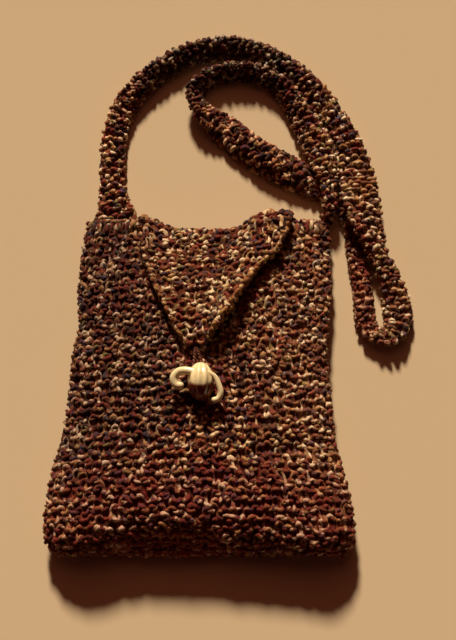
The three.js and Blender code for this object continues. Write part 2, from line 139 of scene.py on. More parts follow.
# Strap: one row for each bend, from the left corner of the mouth round to the right one
STRAP_COLUMNS = ("x", "y", "wide", "tilt", "lift", "bow")
STRAP_ROWS = (
    (-69.7, 128.3, 36.5, 0, 0, 0),
    (-69.9, 137, 32, 0, 0, 1),
    (-72.2, 149, 24, 2, 0, 3),
    (-74, 165, 20, 5, 0, 4),
    (-74.2, 188, 19.5, 10, 0, 4),
    (-72.8, 211, 19.5, 18, 0, 3.5),
    (-64.5, 235.5, 19.5, 28, 0, 2.5),
    (-47.6, 258, 19.5, 36, 0, 2),
    (-23.7, 276.5, 19.5, 40, 0, 1.5),
    (7, 288, 19.5, 40, 0, 1.5),
    (36, 286.3, 19.5, 38, 0, 2),
    (63, 273.6, 20, 30, 0, 3),
    (87, 252.8, 20.5, 20, 0, 4.5),
    (105.3, 226.3, 22, 10, 0, 5),
    (115.5, 207, 24, 3, 0, 4),
    (121, 189, 27, 0, 0.5, 3),
    (124, 172, 30, -4, 3, 2),
    (125.5, 156, 31.5, -8, 6, 1),
    (127, 140, 31, -13, 7.5, 1),
    (130.5, 124, 26, -18, 7, 1),
    (136.5, 106, 19, -22, 5, 1),
    (145.5, 86, 17, -14, 1.5, 2),
    (151, 68, 20.5, 0, 0, 3.5),
    (152.8, 52, 21.5, 8, 0, 3.5),
    (150, 40, 19, 18, 0, 2),
    (140.5, 34, 15, 26, 0, 1),
    (130.5, 39.5, 14.5, 20, 0, 1.5),
    (126.8, 51, 14.5, 8, 0, 3),
    (126.2, 66, 14.5, 6, 0, 3),
    (124.8, 86, 14.5, 4, 0, 2),
    (122.8, 104, 15.5, 0, 0, 0),
    (121.8, 118, 15.5, 0, 0, 0),
    (119.6, 134, 16.5, 0, 0, 0),
    (110.5, 152, 20, -2, 0, 1),
    (91.5, 163.5, 24, -6, 0, 4),
    (65.5, 177.5, 26, -9, 0, 7),
    (41.1, 193.2, 27, -6, 0, 7),
    (18, 213.5, 26, 4, 0, 5),
    (-2, 231, 21, 38, 0, 2),
    (-8, 246, 18, 56, 0, 1),
    (2, 258.5, 17.5, 58, 0, 0.5),
    (22, 265, 17.5, 58, 0, 0.5),
    (43, 263.5, 17.5, 56, 0, 0.5),
    (61, 254, 18, 50, 0, 1),
    (74.5, 236, 20, 38, 0, 2),
    (86, 213, 23, 24, 2, 3),
    (94, 190, 23.5, 18, 6.5, 2),
    (98.5, 173, 18, 15, 10.5, 1),
    (100.8, 157, 11, 10, 11.5, 0),
    (101, 141, 9.5, 6, 9.5, 0),
    (98.5, 128.4, 11, 0, 4, 0),
)
STRAP_THICK = 6.5
STRAP_WIDE_POWER = 0.6
STRAP_THICK_POWER = 0.75
STRAP_SQUARE_ENDS = 8
# How much of a core's inset there is at the band's edges
EDGE_INSET = 0.3

# Toggle: a ribbed bead with two curled ends, seen from above about the bead's middle
TOGGLE_PLACE = (-0.2, -2.8)
BEAD_ACROSS = 19.6
BEAD_ALONG = 29
BEAD_CROWN = 13
BEAD_BASE = 1.5
BEAD_ASIDE = -5.9
BEAD_STAND = 3.7
BEAD_RIBS = 11
BEAD_RIB_DEPTH = 0.035
BEAD_RIB_SHARE = 0.15
LEFT_CURL = (
    (-4, -0.7, 7), (-10.5, 0.9, 6), (-16, 0.4, 5),
    (-19.6, -3.8, 4), (-18, -8.8, 3), (-12, -9.8, 3),
)
RIGHT_CURL = (
    (5, -0.7, 7), (10, -3.4, 5.5), (13.4, -9.4, 4.5),
    (14.8, -15.4, 3.5), (12.8, -19.4, 2.5), (8, -20.5, 2),
)
CURL_THICK = (6, 4.4)
# The bead and its curls are fused at this grain and then polished this much, this often
TOGGLE_GRAIN = 0.32
TOGGLE_POLISH = 0.5
TOGGLE_POLISHINGS = 4
# The bead's lower end has painted brown shade farther than this from the toggle's place
CREAM_REACH = 11.3
PIECE_GAP = 0.3
SHANK_TALL = 3.1
SHANK_END = 0.9
SHANK_COIL = 1.1
SHANK_COILS = 4
SHANK_YARN = 1.7
SHANK_TWISTS = 9
LOOP_THICK = 2.6
LOOP_REACH = 7.7
LOOP_NECK = 1.7
LOOP_TAIL = 4.3
LOOP_TWISTS = 14
# How far a ply lies from the middle of its yarn and how thick it is, as shares of the yarn's thickness
PLY_APART = 0.24
PLY_RADIUS = 0.27

# Stitches: how far a loop reaches in courses, and how high it stands out of the cloth in millimetres
POINTS_PER_STITCH = 14
YARN_SIDES = 5
STITCH_LEAN = 0.12
STITCH_REACH = 0.82
STITCH_RISE = -2.4
POUCH_STITCHES = 64
POUCH_LOW_REACH = 0.7
POUCH_HIGH_REACH = 0.78
FLAP_RISE = -1.9
SELVAGE_REACH = 0.6
SELVAGE_RISE = -1.2
STRAP_STITCHES = 8
STRAP_REACH = 0.55
STRAP_RISE = -1.5
STRAP_DEPTH = 1.7
STRAP_WANDER = 2.3
# Thinnest and thickest places of the yarn, as shares of its thickness
NUB_RANGE = (0.65, 1.35)
NUB_NOISE = (0.25, 0.75)
NUBS_PER_STITCH = 1.7
# How fast the loops' unevenness changes along a course and from course to course, and its share in height
NOISE_PER_STITCH = 0.9
NOISE_PER_COURSE = 2.37
NOISE_HEIGHT = 0.4
# A cloth map keeps its counts of stitches and courses inside the unit square
MAP_SCALE = 1 / 200
MAP_MARGIN = 10
# One that goes round is continued past both its ends by one part of this many
WRAP_PARTS = 12
# How deep the dark cloth lies under the stitches
POUCH_CORE_INSET = 3
STRAP_CORE_INSET = 1.5
FLAP_CORE_HALF = 1.0

# How finely the meshes are made, in steps or in millimetres
POUCH_AROUND = 192
POUCH_WALL_STEP = 6
POUCH_STITCH_STEP = 4
BOTTOM_TURNS = 6
CREST_TURNS = 6
FOOT_STEPS = 5
FLAP_ACROSS = 41
FLAP_DOWN = 60
STRAP_AROUND = 48
STRAP_WALL_RINGS = 260
STRAP_STITCH_RINGS = 420
STRAP_LOW_CHECKS = 97
BEAD_AROUND = 132
BEAD_BANDS = 60
BEAD_POLE = 0.02
CURL_AROUND = 24
CURL_RINGS = 40
CURL_TIP = 0.02
PLY_SIDES = 8
LOOP_STEPS = 120
SHANK_STEPS = 97

# Camera: where the photograph was taken from, and its frame in pixels
PHOTO_SIZE = (456, 640)
CAMERA_AIM = (0.020, 0.050, 0.0)
CAMERA_AWAY = 0.850
CAMERA_ELEVATION = 72
CAMERA_FOCAL_PIXELS = 1087
CAMERA_SENSOR = 36
CAMERA_NEAR = 0.01
FLOOR_REACH = 3000
FLOOR_DROP = 0.3
FLOOR_CORNERS = ((-1, -1), (1, -1), (1, 1), (-1, 1))

# Light: a key from behind the mouth, a broad reddish one from the ceiling and a little from all round
LIGHT_SIDE = 7.5
LIGHT_AWAY = 1.5
KEY_LIFT = 29
KEY_COLOUR = "ffe8ce"
CEILING_LIFT = 52
CEILING_SIZE = 50
CEILING_COLOUR = "ff956d"
FILL_COLOUR = "ff9081"


class KnitBagYarn(bpy.types.PropertyGroup):
    """Sizes of the yarn and of its stitches"""

    thickness: bpy.props.FloatProperty(
        name="Yarn Thickness", description="Thickness of the yarn",
        default=3.4 * MM, unit="LENGTH")
    stitch: bpy.props.FloatProperty(
        name="Stitch", description="Width of one stitch", default=7.0 * MM, unit="LENGTH")
    course: bpy.props.FloatProperty(
        name="Course", description="Height of one course of stitches",
        default=6.8 * MM, unit="LENGTH")
    depth: bpy.props.FloatProperty(
        name="Loop Depth", description="How far the loops swing in and out",
        default=1.3 * MM, unit="LENGTH")
    wander: bpy.props.FloatProperty(
        name="Wander", description="How uneven the loops are, in stitches", default=2.0)
    seed: bpy.props.IntProperty(
        name="Seed", description="Seed of the uneven loops", default=7)


class KnitBagStage(bpy.types.PropertyGroup):
    """Floor and light"""

    floor: bpy.props.StringProperty(
        name="Floor", description="Colour of the plain floor, as sRGB hex", default="dcc9a6")
    key: bpy.props.FloatProperty(
        name="Key", description="Strength of the key light", default=4.93)
    key_size: bpy.props.FloatProperty(
        name="Key Size", description="How wide the key light looks",
        default=math.radians(7.5), unit="ROTATION")
    ceiling: bpy.props.FloatProperty(
        name="Ceiling", description="Strength of the broad light from above", default=0.2)
    fill: bpy.props.FloatProperty(
        name="Fill", description="Strength of the light from all round", default=0.024)


# Small tools


def linear(colour):
    """An sRGB hex colour as linear RGBA."""
    parts = [int(colour[i:i + 2], 16) / 255 for i in (0, 2, 4)]
    return tuple(c / 12.92 if c <= 0.04045 else ((c + 0.055) / 1.055) ** 2.4 for c in parts) + (1.0,)


def add_node(tree, kind, inputs=None, **settings):
    """A new node with its settings; an input is a value or the output that links to it."""
    node = tree.nodes.new(kind)
    for name, value in settings.items():
        setattr(node, name, value)
    for name, value in (inputs or {}).items():
        if isinstance(value, bpy.types.NodeSocket):
            tree.links.new(value, node.inputs[name])
        else:
            node.inputs[name].default_value = value
    return node


def smooth_table(columns, rows):
    """The table as a smooth function of its first column, with one array for each other column."""
    rows = np.asarray(rows, float)
    at = rows[:, 0]
    values = rows[:, 1:]
    steps = np.diff(at)
    slopes = np.diff(values, axis=0) / steps[:, None]
    tangents = np.vstack([slopes[:1], (slopes[1:] + slopes[:-1]) / 2, slopes[-1:]])

    def look_up(where):
        where = np.clip(np.asarray(where, float), at[0], at[-1])
        i = np.clip(np.searchsorted(at, where, side="right") - 1, 0, len(steps) - 1)
        width = steps[i][..., None]
        p = (where - at[i])[..., None] / width
        found = (1 + 2 * p) * (1 - p) ** 2 * values[i] + p * (1 - p) ** 2 * width * tangents[i]
        found += p ** 2 * (3 - 2 * p) * values[i + 1] + p ** 2 * (p - 1) * width * tangents[i + 1]
        return {name: found[..., k] for k, name in enumerate(columns[1:])}

    return look_up


def signed_power(value, power):
    """A power that keeps the sign of its value."""
    return np.sign(value) * np.abs(value) ** power


def smooth_step(value, low, high):
    """A soft step from 0 at low to 1 at high, which may be the smaller one."""
    share = np.clip((value - low) / (high - low), 0, 1)
    return share * share * (3 - 2 * share)


def unit(vectors):
    """The vectors at a length of 1."""
    return vectors / np.maximum(np.linalg.norm(vectors, axis=-1, keepdims=True), 1e-9)


def full_turn(count):
    """Angles of one turn in equal steps, without the last one, which is the first again."""
    return np.linspace(0, math.tau, count + 1)[:-1]


def run_along(points):
    """Distance from the first of a row of points to each of them, for one row or for each of many."""
    runs = np.linalg.norm(np.diff(points, axis=-2), axis=-1)
    return np.insert(np.cumsum(runs, axis=-1), 0, 0, axis=-1)


def beside(travel):
    """Directions level and square to a travel, and the ones square to both."""
    aside = unit(np.cross(travel, np.array([0, 0, 1.0])))
    return aside, np.cross(aside, travel)


def turn_from(first, second, angles):
    """Directions that turn from the first ones towards the second ones, with a column for each angle."""
    cosines = np.cos(angles)[None, :, None]
    sines = np.sin(angles)[None, :, None]
    return first[:, None] * cosines + second[:, None] * sines


def grid_normals(grid):
    """Unit normals of a grid of points, right-handed about its columns and rows."""
    return unit(np.cross(np.gradient(grid, axis=1), np.gradient(grid, axis=0)))


def grid_faces(rows, columns, closed=False):
    """Faces of a grid of points; a closed one joins its last column to its first."""
    spans = columns if closed else columns - 1
    i, j = np.meshgrid(np.arange(rows - 1), np.arange(spans), indexing="ij")
    k = (j + 1) % columns
    corners = (i * columns + j, i * columns + k, (i + 1) * columns + k, (i + 1) * columns + j)
    return np.stack(corners, axis=-1).reshape(-1, 4)


def mesh_object(name, points, faces, material):
    """A smooth mesh object from points in millimetres."""
    mesh = bpy.data.meshes.new(name)
    mesh.from_pydata((np.asarray(points) * MM).tolist(), [], [list(map(int, face)) for face in faces])
    mesh.shade_smooth()
    mesh.materials.append(material)
    thing = bpy.data.objects.new(name, mesh)
    bpy.context.scene.collection.objects.link(thing)
    return thing


def skin_rings(name, rings, material):
    """A closed body through a run of rings, with a fan at both ends."""
    count, around = rings.shape[:2]
    points = np.vstack([rings.reshape(-1, 3), rings[0].mean(axis=0), rings[-1].mean(axis=0)])
    faces = grid_faces(count, around, closed=True).tolist()
    last = (count - 1) * around
    for i in range(around):
        j = (i + 1) % around
        faces.append([count * around, j, i])
        faces.append([count * around + 1, last + i, last + j])
    thing = mesh_object(name, points, faces, material)
    face_outwards(thing)
    return thing


def plain_mesh(thing):
    """A new mesh of a thing as its modifiers make it."""
    bpy.context.view_layer.update()
    evaluated = thing.evaluated_get(bpy.context.evaluated_depsgraph_get())
    return bpy.data.meshes.new_from_object(evaluated)


def face_outwards(thing):
    """Turns a closed mesh's faces outwards."""
    work = bmesh.new()
    work.from_mesh(thing.data)
    bmesh.ops.recalc_face_normals(work, faces=work.faces)
    work.to_mesh(thing.data)
    work.free()


# Yarn laid on a cloth by Geometry Nodes


def cloth_map(name, grid, across, up, outward):
    """A helper mesh whose map counts stitches across and courses up, for yarn to lie on."""
    rows, columns = grid.shape[:2]
    helper = mesh_object(name, grid.reshape(-1, 3), grid_faces(rows, columns), None)
    mesh = helper.data
    corners = np.empty(len(mesh.loops), int)
    mesh.loops.foreach_get("vertex_index", corners)
    counts = np.stack(np.broadcast_arrays(across, up), axis=-1).reshape(-1, 2)
    places = (counts[corners] + MAP_MARGIN) * MAP_SCALE
    mesh.uv_layers.new(name="cloth").uv.foreach_set("vector", places.ravel().astype(np.float32))
    lay = mesh.attributes.new("outward", "FLOAT_VECTOR", "POINT")
    lay.data.foreach_set("vector", outward.reshape(-1).astype(np.float32))
    return helper


KNIT_INPUTS = (
    ("Stitches", "Int"),
    ("Courses", "Int"),
    ("First Stitch", "Float"),
    ("First Course", "Float"),
    ("Lowest", "Float"),
    ("Highest", "Float"),
    ("Points per Stitch", "Int"),
    ("Yarn Sides", "Int"),
    ("Yarn Thickness", "Float"),
    ("Loop Reach", "Float"),
    ("Loop Lean", "Float"),
    ("Loop Depth", "Float"),
    ("Loop Rise", "Float"),
    ("Wander", "Float"),
    ("Floor", "Float"),
    ("Closed", "Bool"),
    ("Seed", "Float"),
    ("Material", "Material"),
)


# Sums of the knitting tree: a name for the result, what is done, and the values that it is done to
COURSE_SUMS = (
    # Each point knows its course and how many stitches along that course it lies
    ("per course", "MULTIPLY", "Stitches", "Points per Stitch"),
    ("count", "MULTIPLY", "per course", "Courses"),
    ("courses so far", "DIVIDE", "index", "per course"),
    ("course", "FLOOR", "courses so far"),
    ("before", "MULTIPLY", "course", "per course"),
    ("step", "SUBTRACT", "index", "before"),
    ("along", "DIVIDE", "step", "Points per Stitch"),
    # A loop swings up and down once a stitch, and in and out twice
    ("once", "MULTIPLY", "along", math.tau),
    ("twice", "MULTIPLY", "along", 2 * math.tau),
    ("swing", "COSINE", "once"),
    ("lean", "SINE", "twice"),
    ("bulge", "COSINE", "twice"),
    # The loops are uneven by a noise that differs from course to course
    ("numbered", "ADD", "course", "First Course"),
    ("noise along", "MULTIPLY", "along", NOISE_PER_STITCH),
    ("noise course", "MULTIPLY", "numbered", NOISE_PER_COURSE),
    # The yarn's length in stitches from the first one, which its colours and nubs follow
    ("length", "MULTIPLY_ADD", "numbered", "Stitches", "along"),
    ("nub along", "MULTIPLY", "length", NUBS_PER_STITCH),
)
LOOP_SUMS = (
    # Place on the cloth map
    ("leaning", "MULTIPLY_ADD", "lean", "Loop Lean", "along"),
    ("started", "ADD", "leaning", "First Stitch"),
    ("across", "ADD", "started", "shift across"),
    ("reach", "MULTIPLY", "swing", "Loop Reach"),
    ("middle", "ADD", "numbered", 0.5),
    ("swung", "SUBTRACT", "middle", "reach"),
    ("shifted", "ADD", "swung", "shift up"),
    # Out of the cloth by the loop's own swing
    ("bulged", "MULTIPLY_ADD", "bulge", "Loop Depth", "Loop Rise"),
    ("uneven", "MULTIPLY", "Yarn Thickness", NOISE_HEIGHT),
    ("out", "MULTIPLY_ADD", "shift out", "uneven", "bulged"),
    ("half yarn", "MULTIPLY", "Yarn Thickness", 0.5),
)


def knit_courses_tree():
    """A tree that knits courses of loops over the cloth map that it is given."""
    tree = bpy.data.node_groups.new("knit courses", "GeometryNodeTree")
    sockets = tree.interface
    sockets.new_socket("Cloth", in_out="INPUT", socket_type="NodeSocketGeometry")
    for name, kind in KNIT_INPUTS:
        sockets.new_socket(name, in_out="INPUT", socket_type="NodeSocket" + kind)
    sockets.new_socket("Yarn", in_out="OUTPUT", socket_type="NodeSocketGeometry")
    given = add_node(tree, "NodeGroupInput").outputs
    found = {name: given[name] for name, kind in KNIT_INPUTS}
    found["index"] = add_node(tree, "GeometryNodeInputIndex").outputs[0]

    for name, operation, *terms in COURSE_SUMS:
        values = {i: found.get(term, term) for i, term in enumerate(terms)}
        found[name] = add_node(tree, "ShaderNodeMath", values, operation=operation).outputs[0]
    noise_place = add_node(
        tree, "ShaderNodeCombineXYZ",
        {0: found["noise along"], 1: found["noise course"], 2: given["Seed"]}).outputs[0]
    noise = add_node(
        tree, "ShaderNodeTexNoise", {"Vector": noise_place, "Scale": 1.0, "Detail": 1.0}).outputs["Color"]
    centred = add_node(
        tree, "ShaderNodeVectorMath", {0: noise, 1: (0.5, 0.5, 0.5)}, operation="SUBTRACT").outputs[0]
    wander = add_node(
        tree, "ShaderNodeVectorMath", {0: centred, "Scale": given["Wander"]}, operation="SCALE").outputs[0]
    shift = add_node(tree, "ShaderNodeSeparateXYZ", {0: wander}).outputs
    found.update(zip(("shift across", "shift up", "shift out"), shift))
    for name, operation, *terms in LOOP_SUMS:
        values = {i: found.get(term, term) for i, term in enumerate(terms)}
        found[name] = add_node(tree, "ShaderNodeMath", values, operation=operation).outputs[0]

    # The cloth's own place and outward direction where the loop is on the map
    up = add_node(
        tree, "ShaderNodeClamp",
        {0: found["shifted"], 1: given["Lowest"], 2: given["Highest"]}).outputs[0]
    counted = add_node(tree, "ShaderNodeCombineXYZ", {0: found["across"], 1: up}).outputs[0]
    margin = MAP_MARGIN * MAP_SCALE
    place = add_node(
        tree, "ShaderNodeVectorMath",
        {0: counted, 1: (MAP_SCALE, MAP_SCALE, 0), 2: (margin, margin, 0)},
        operation="MULTIPLY_ADD").outputs[0]
    cloth = add_node(
        tree, "GeometryNodeInputNamedAttribute", {"Name": "cloth"}, data_type="FLOAT_VECTOR").outputs[0]
    outward = add_node(
        tree, "GeometryNodeInputNamedAttribute", {"Name": "outward"}, data_type="FLOAT_VECTOR").outputs[0]
    position = add_node(tree, "GeometryNodeInputPosition").outputs[0]
    on_cloth, off_cloth = (
        add_node(
            tree, "GeometryNodeSampleUVSurface",
            {"Mesh": given["Cloth"], "Value": value, "UV Map": cloth, "Sample UV": place},
            data_type="FLOAT_VECTOR").outputs
        for value in (position, outward))

    # Out of the cloth, and never below the floor
    stood = add_node(
        tree, "ShaderNodeVectorMath", {0: off_cloth[0], 1: found["out"], 2: on_cloth[0]},
        operation="MULTIPLY_ADD").outputs[0]
    axes = add_node(tree, "ShaderNodeSeparateXYZ", {0: stood}).outputs
    height = add_node(
        tree, "ShaderNodeMath", {0: axes[2], 1: given["Floor"]}, operation="MAXIMUM").outputs[0]
    laid = add_node(tree, "ShaderNodeCombineXYZ", {0: axes[0], 1: axes[1], 2: height}).outputs[0]
    points = add_node(tree, "GeometryNodePoints", {"Count": found["count"], "Position": laid}).outputs[0]

    # What the yarn keeps: its length and course for the colours, its nubs, and whether it is on the cloth
    yarn = add_node(
        tree, "ShaderNodeCombineXYZ",
        {0: found["length"], 1: found["numbered"], 2: found["bulge"]}).outputs[0]
    nub_noise = add_node(
        tree, "ShaderNodeTexNoise", {"W": found["nub along"], "Scale": 1.0, "Detail": 2.0},
        noise_dimensions="1D").outputs[0]
    nub = add_node(
        tree, "ShaderNodeMapRange",
        {0: nub_noise, 1: NUB_NOISE[0], 2: NUB_NOISE[1], 3: NUB_RANGE[0], 4: NUB_RANGE[1]}).outputs[0]
    for name, kind, value in (
        ("yarn", "FLOAT_VECTOR", yarn), ("nub", "FLOAT", nub), ("on_cloth", "BOOLEAN", on_cloth[1]),
    ):
        points = add_node(
            tree, "GeometryNodeStoreNamedAttribute", {"Geometry": points, "Name": name, "Value": value},
            data_type=kind, domain="POINT").outputs[0]

    # Points to strands, strands to round yarn
    strands = add_node(
        tree, "GeometryNodePointsToCurves",
        {"Points": points, "Curve Group ID": found["course"], "Weight": found["step"]}).outputs[0]
    kept = add_node(
        tree, "GeometryNodeInputNamedAttribute", {"Name": "on_cloth"}, data_type="BOOLEAN").outputs[0]
    lost = add_node(tree, "FunctionNodeBooleanMath", {0: kept}, operation="NOT").outputs[0]
    strands = add_node(
        tree, "GeometryNodeDeleteGeometry", {"Geometry": strands, "Selection": lost},
        domain="POINT").outputs[0]
    strands = add_node(
        tree, "GeometryNodeSetSplineCyclic", {"Geometry": strands, "Cyclic": given["Closed"]}).outputs[0]
    section = add_node(
        tree, "GeometryNodeCurvePrimitiveCircle",
        {"Resolution": given["Yarn Sides"], "Radius": 1.0}).outputs[0]
    section = add_node(
        tree, "GeometryNodeStoreNamedAttribute",
        {"Geometry": section, "Name": "round", "Value": position},
        data_type="FLOAT_VECTOR", domain="POINT").outputs[0]
    nub = add_node(
        tree, "GeometryNodeInputNamedAttribute", {"Name": "nub"}, data_type="FLOAT").outputs[0]
    radius = add_node(
        tree, "ShaderNodeMath", {0: nub, 1: found["half yarn"]}, operation="MULTIPLY").outputs[0]
    yarn_mesh = add_node(
        tree, "GeometryNodeCurveToMesh",
        {"Curve": strands, "Profile Curve": section, "Scale": radius, "Fill Caps": True}).outputs[0]
    smooth = add_node(tree, "GeometryNodeSetShadeSmooth", {"Geometry": yarn_mesh}).outputs[0]
    real = add_node(tree, "GeometryNodeRealizeInstances", {"Geometry": smooth}).outputs[0]
    dressed = add_node(
        tree, "GeometryNodeSetMaterial", {"Geometry": real, "Material": given["Material"]}).outputs[0]
    add_node(tree, "NodeGroupOutput", {0: dressed})
    return tree


def knit_on(name, helper, values):
    """The yarn that the tree knits on a cloth map, as a plain mesh object; the map is removed."""
    tree = bpy.data.node_groups.get("knit courses") or knit_courses_tree()
    modifier = helper.modifiers.new("knit courses", "NODES")
    modifier.node_group = tree
    for socket in tree.interface.items_tree:
        if socket.in_out == "INPUT" and socket.name in values:
            modifier[socket.identifier] = values[socket.name]
    mesh = plain_mesh(helper)
    helper.modifiers.remove(modifier)
    cloth = helper.data
    bpy.data.objects.remove(helper)
    bpy.data.meshes.remove(cloth)
    mesh.name = name
    thing = bpy.data.objects.new(name, mesh)
    bpy.context.scene.collection.objects.link(thing)
    return thing


def yarn_values(yarn, material, **changes):
    """The tree's inputs for this bag's yarn, with what one piece changes."""
    values = {
        "First Stitch": 0.0,
        "First Course": 0.0,
        "Lowest": 0.0,
        "Points per Stitch": POINTS_PER_STITCH,
        "Yarn Sides": YARN_SIDES,
        "Yarn Thickness": yarn.thickness,
        "Loop Reach": STITCH_REACH,
        "Loop Lean": STITCH_LEAN,
        "Loop Depth": yarn.depth,
        "Loop Rise": STITCH_RISE * MM,
        "Wander": yarn.wander,
        "Floor": yarn.thickness / 2 * NUB_RANGE[1],
        "Closed": True,
        "Seed": float(yarn.seed),
        "Material": material,
    }
    values.update(changes)
    return values


# Shapes of the cloth, as in the part's own source

pouch_at = smooth_table(POUCH_COLUMNS, POUCH_ROWS)
flap_at = smooth_table(FLAP_COLUMNS, FLAP_ROWS)


def scoop_at(x, y):
    """How far the mouth's scoop draws the cloth down."""
    fade = smooth_step(y, SCOOP_FADE_FROM, POUCH_MOUTH)
    return SCOOP_DEPTH * (smooth_step(x, *SCOOP_LEFT) - smooth_step(x, *SCOOP_RIGHT)) * fade


def fold_at(x, y):
    """How deep the soft folds and puffs are at a place on the front."""
    depth = 0
    for fold in FRONT_FOLDS:
        fold = dict(zip(FOLD_COLUMNS, fold))
        turn = math.radians(fold["turn"])
        along = (x - fold["x"]) * math.cos(turn) + (y - fold["y"]) * math.sin(turn)
        aside = (y - fold["y"]) * math.cos(turn) - (x - fold["x"]) * math.sin(turn)
        depth = depth + fold["depth"] * np.exp(-((along / fold["long"]) ** 2) - (aside / fold["wide"]) ** 2)
    return depth


def pouch_ring(y, angles, inset, side_inset):
    """One section of the pouch: flat below, rounded at the sides and crowned above."""
    row = pouch_at(y)
    middle = (row["left"] + row["right"]) / 2
    half = (row["right"] - row["left"]) / 2 - side_inset
    side = row["rise"] * SIDE_HEIGHT
    x = middle + half * signed_power(np.cos(angles), POUCH_SIDE_POWER)
    up = signed_power(np.sin(angles), POUCH_CROWN_POWER)
    fold = fold_at(x, y) * np.maximum(0, up)
    crown = side + (row["rise"] - inset - side) * up - fold
    back = np.maximum(inset, side + (side - inset) * BACK_FLATNESS * up)
    return np.stack([x, y - scoop_at(x, y) + fold * FOLD_PULL, np.where(up >= 0, crown, back)], axis=-1)


def pouch_rings(angles, inset, side_inset, step):
    """Sections from the rounded bottom end up to the mouth."""
    bottom = POUCH_BOTTOM + side_inset / SIDE_WALL * BOTTOM_WALL
    rings = []
    for turn in np.linspace(0, math.pi / 2, BOTTOM_TURNS, endpoint=False):
        drawn_in = BOTTOM_ROUND * (1 - math.sin(turn))
        y = bottom + BOTTOM_ROUND * (1 - math.cos(turn))
        inset_here = inset + drawn_in * BOTTOM_INSET_SHARE
        rings.append(pouch_ring(y, angles, inset_here, side_inset + drawn_in * BOTTOM_SIDE_SHARE))
    start = bottom + BOTTOM_ROUND
    for y in np.linspace(start, POUCH_MOUTH, round((POUCH_MOUTH - start) / step) + 1):
        rings.append(pouch_ring(y, angles, inset, side_inset))
    return rings


def front_height(x, y):
    """Height of the pouch's front at a place on it."""
    row_y = y + scoop_at(x, y + scoop_at(x, y))
    row = pouch_at(row_y)
    half = (row["right"] - row["left"]) / 2
    across = np.minimum(1, np.abs(x - (row["left"] + row["right"]) / 2) / half)
    up = np.sqrt(1 - across ** (2 / POUCH_SIDE_POWER)) ** POUCH_CROWN_POWER
    side = row["rise"] * SIDE_HEIGHT
    return side + (row["rise"] - side) * up - fold_at(x, row_y) * up


def rim_at(x):
    """Where the mouth's rim is."""
    return POUCH_MOUTH - scoop_at(x, POUCH_MOUTH)


def flap_front(run, share):
    """Middle of the flap's cloth where it lies on the front, at a run down it and a share across it."""
    row = flap_at(run)
    crest = dict(zip(FLAP_COLUMNS, FLAP_ROWS[0]))
    x = row["left_x"] + (row["right_x"] - row["left_x"]) * share
    rim = rim_at(crest["left_x"] + (crest["right_x"] - crest["left_x"]) * share)
    straight = crest["left_y"] + (crest["right_y"] - crest["left_y"]) * share
    y = row["left_y"] + (row["right_y"] - row["left_y"]) * share
    y = y + (rim - straight) * (1 - run) ** FLAP_CREST_POWER
    lift = row["right_lift"] * share ** FLAP_EDGE_POWER + row["left_lift"] * (1 - share) ** FLAP_EDGE_POWER
    away = ((x - HUMP_PLACE[0]) ** 2 + (y - HUMP_PLACE[1]) ** 2) / HUMP_SPREAD ** 2
    lift = lift + HUMP_HEIGHT * np.exp(-away)
    return np.stack([x, y, front_height(x, y) + LAID_GAP + KNIT_WALL / 2 + lift], axis=-1)


def flap_grid(columns, down):
    """The flap's cloth from its foot behind the mouth, over the rim and down the front to its point."""
    share, run = np.meshgrid(np.linspace(0, 1, columns), np.linspace(0, 1, down))
    front = flap_front(run, share)
    crest = front[0]
    slant = np.hypot(1, (rim_at(crest[:, 0] + 1) - rim_at(crest[:, 0] - 1)) / 2)
    stand = LAID_GAP + KNIT_WALL / 2
    rows = []
    for angle in np.linspace(0, math.pi / 2, CREST_TURNS, endpoint=False):
        row = crest.copy()
        row[:, 1] += math.cos(angle) * (RIM_GAP + KNIT_WALL / 2) * slant
        row[:, 2] += (math.sin(angle) - 1) * stand
        rows.append(row)
    climb = []
    for climbed in np.linspace(0, 1, FOOT_STEPS, endpoint=False):
        row = rows[0].copy()
        row[:, 2] = FLAP_FOOT + (row[:, 2] - FLAP_FOOT) * climbed
        climb.append(row)
    return np.concatenate([climb, rows, front])


def strap_length_table():
    """The strap's rows with the distance along it as their first column."""
    rows = np.asarray(STRAP_ROWS, float)
    return np.column_stack([run_along(rows[:, :2]), rows])


STRAP_TABLE = strap_length_table()
STRAP_LENGTH = STRAP_TABLE[-1, 0]
strap_at = smooth_table(("run",) + STRAP_COLUMNS, STRAP_TABLE)


def strap_rings(runs, angles, inset):
    """The band's sections at their distances along it, each turned by its tilt and set down to its lift."""
    row = {name: value[:, None] for name, value in strap_at(runs).items()}
    ahead = strap_at(runs + 1)
    behind = strap_at(runs - 1)
    travel = unit(np.stack([ahead["x"] - behind["x"], ahead["y"] - behind["y"]], axis=-1))
    # Both ends are square to the mouth
    start = smooth_step(runs, STRAP_SQUARE_ENDS, 0)[:, None]
    end = smooth_step(runs, STRAP_LENGTH - STRAP_SQUARE_ENDS, STRAP_LENGTH)[:, None]
    travel = unit(travel * (1 - start - end) + start * np.array([0, 1]) - end * np.array([0, 1]))
    tilt = np.radians(row["tilt"])

    def section(turn):
        across = signed_power(np.cos(turn), STRAP_WIDE_POWER)
        wide = (row["wide"] / 2 - inset * EDGE_INSET) * across
        thick = (STRAP_THICK / 2 - inset) * signed_power(np.sin(turn), STRAP_THICK_POWER)
        thick = thick + row["bow"] * (1 - across ** 2)
        return wide * np.cos(tilt) - thick * np.sin(tilt), wide * np.sin(tilt) + thick * np.cos(tilt)

    all_round = np.linspace(0, math.tau, STRAP_LOW_CHECKS)
    lowest = section(all_round[None])[1].min(axis=1, keepdims=True)
    level, height = section(angles[None])
    x = row["x"] - travel[:, 1:] * level
    y = row["y"] + travel[:, :1] * level
    return np.stack([x, y, height - lowest + np.maximum(0, row["lift"])], axis=-1)


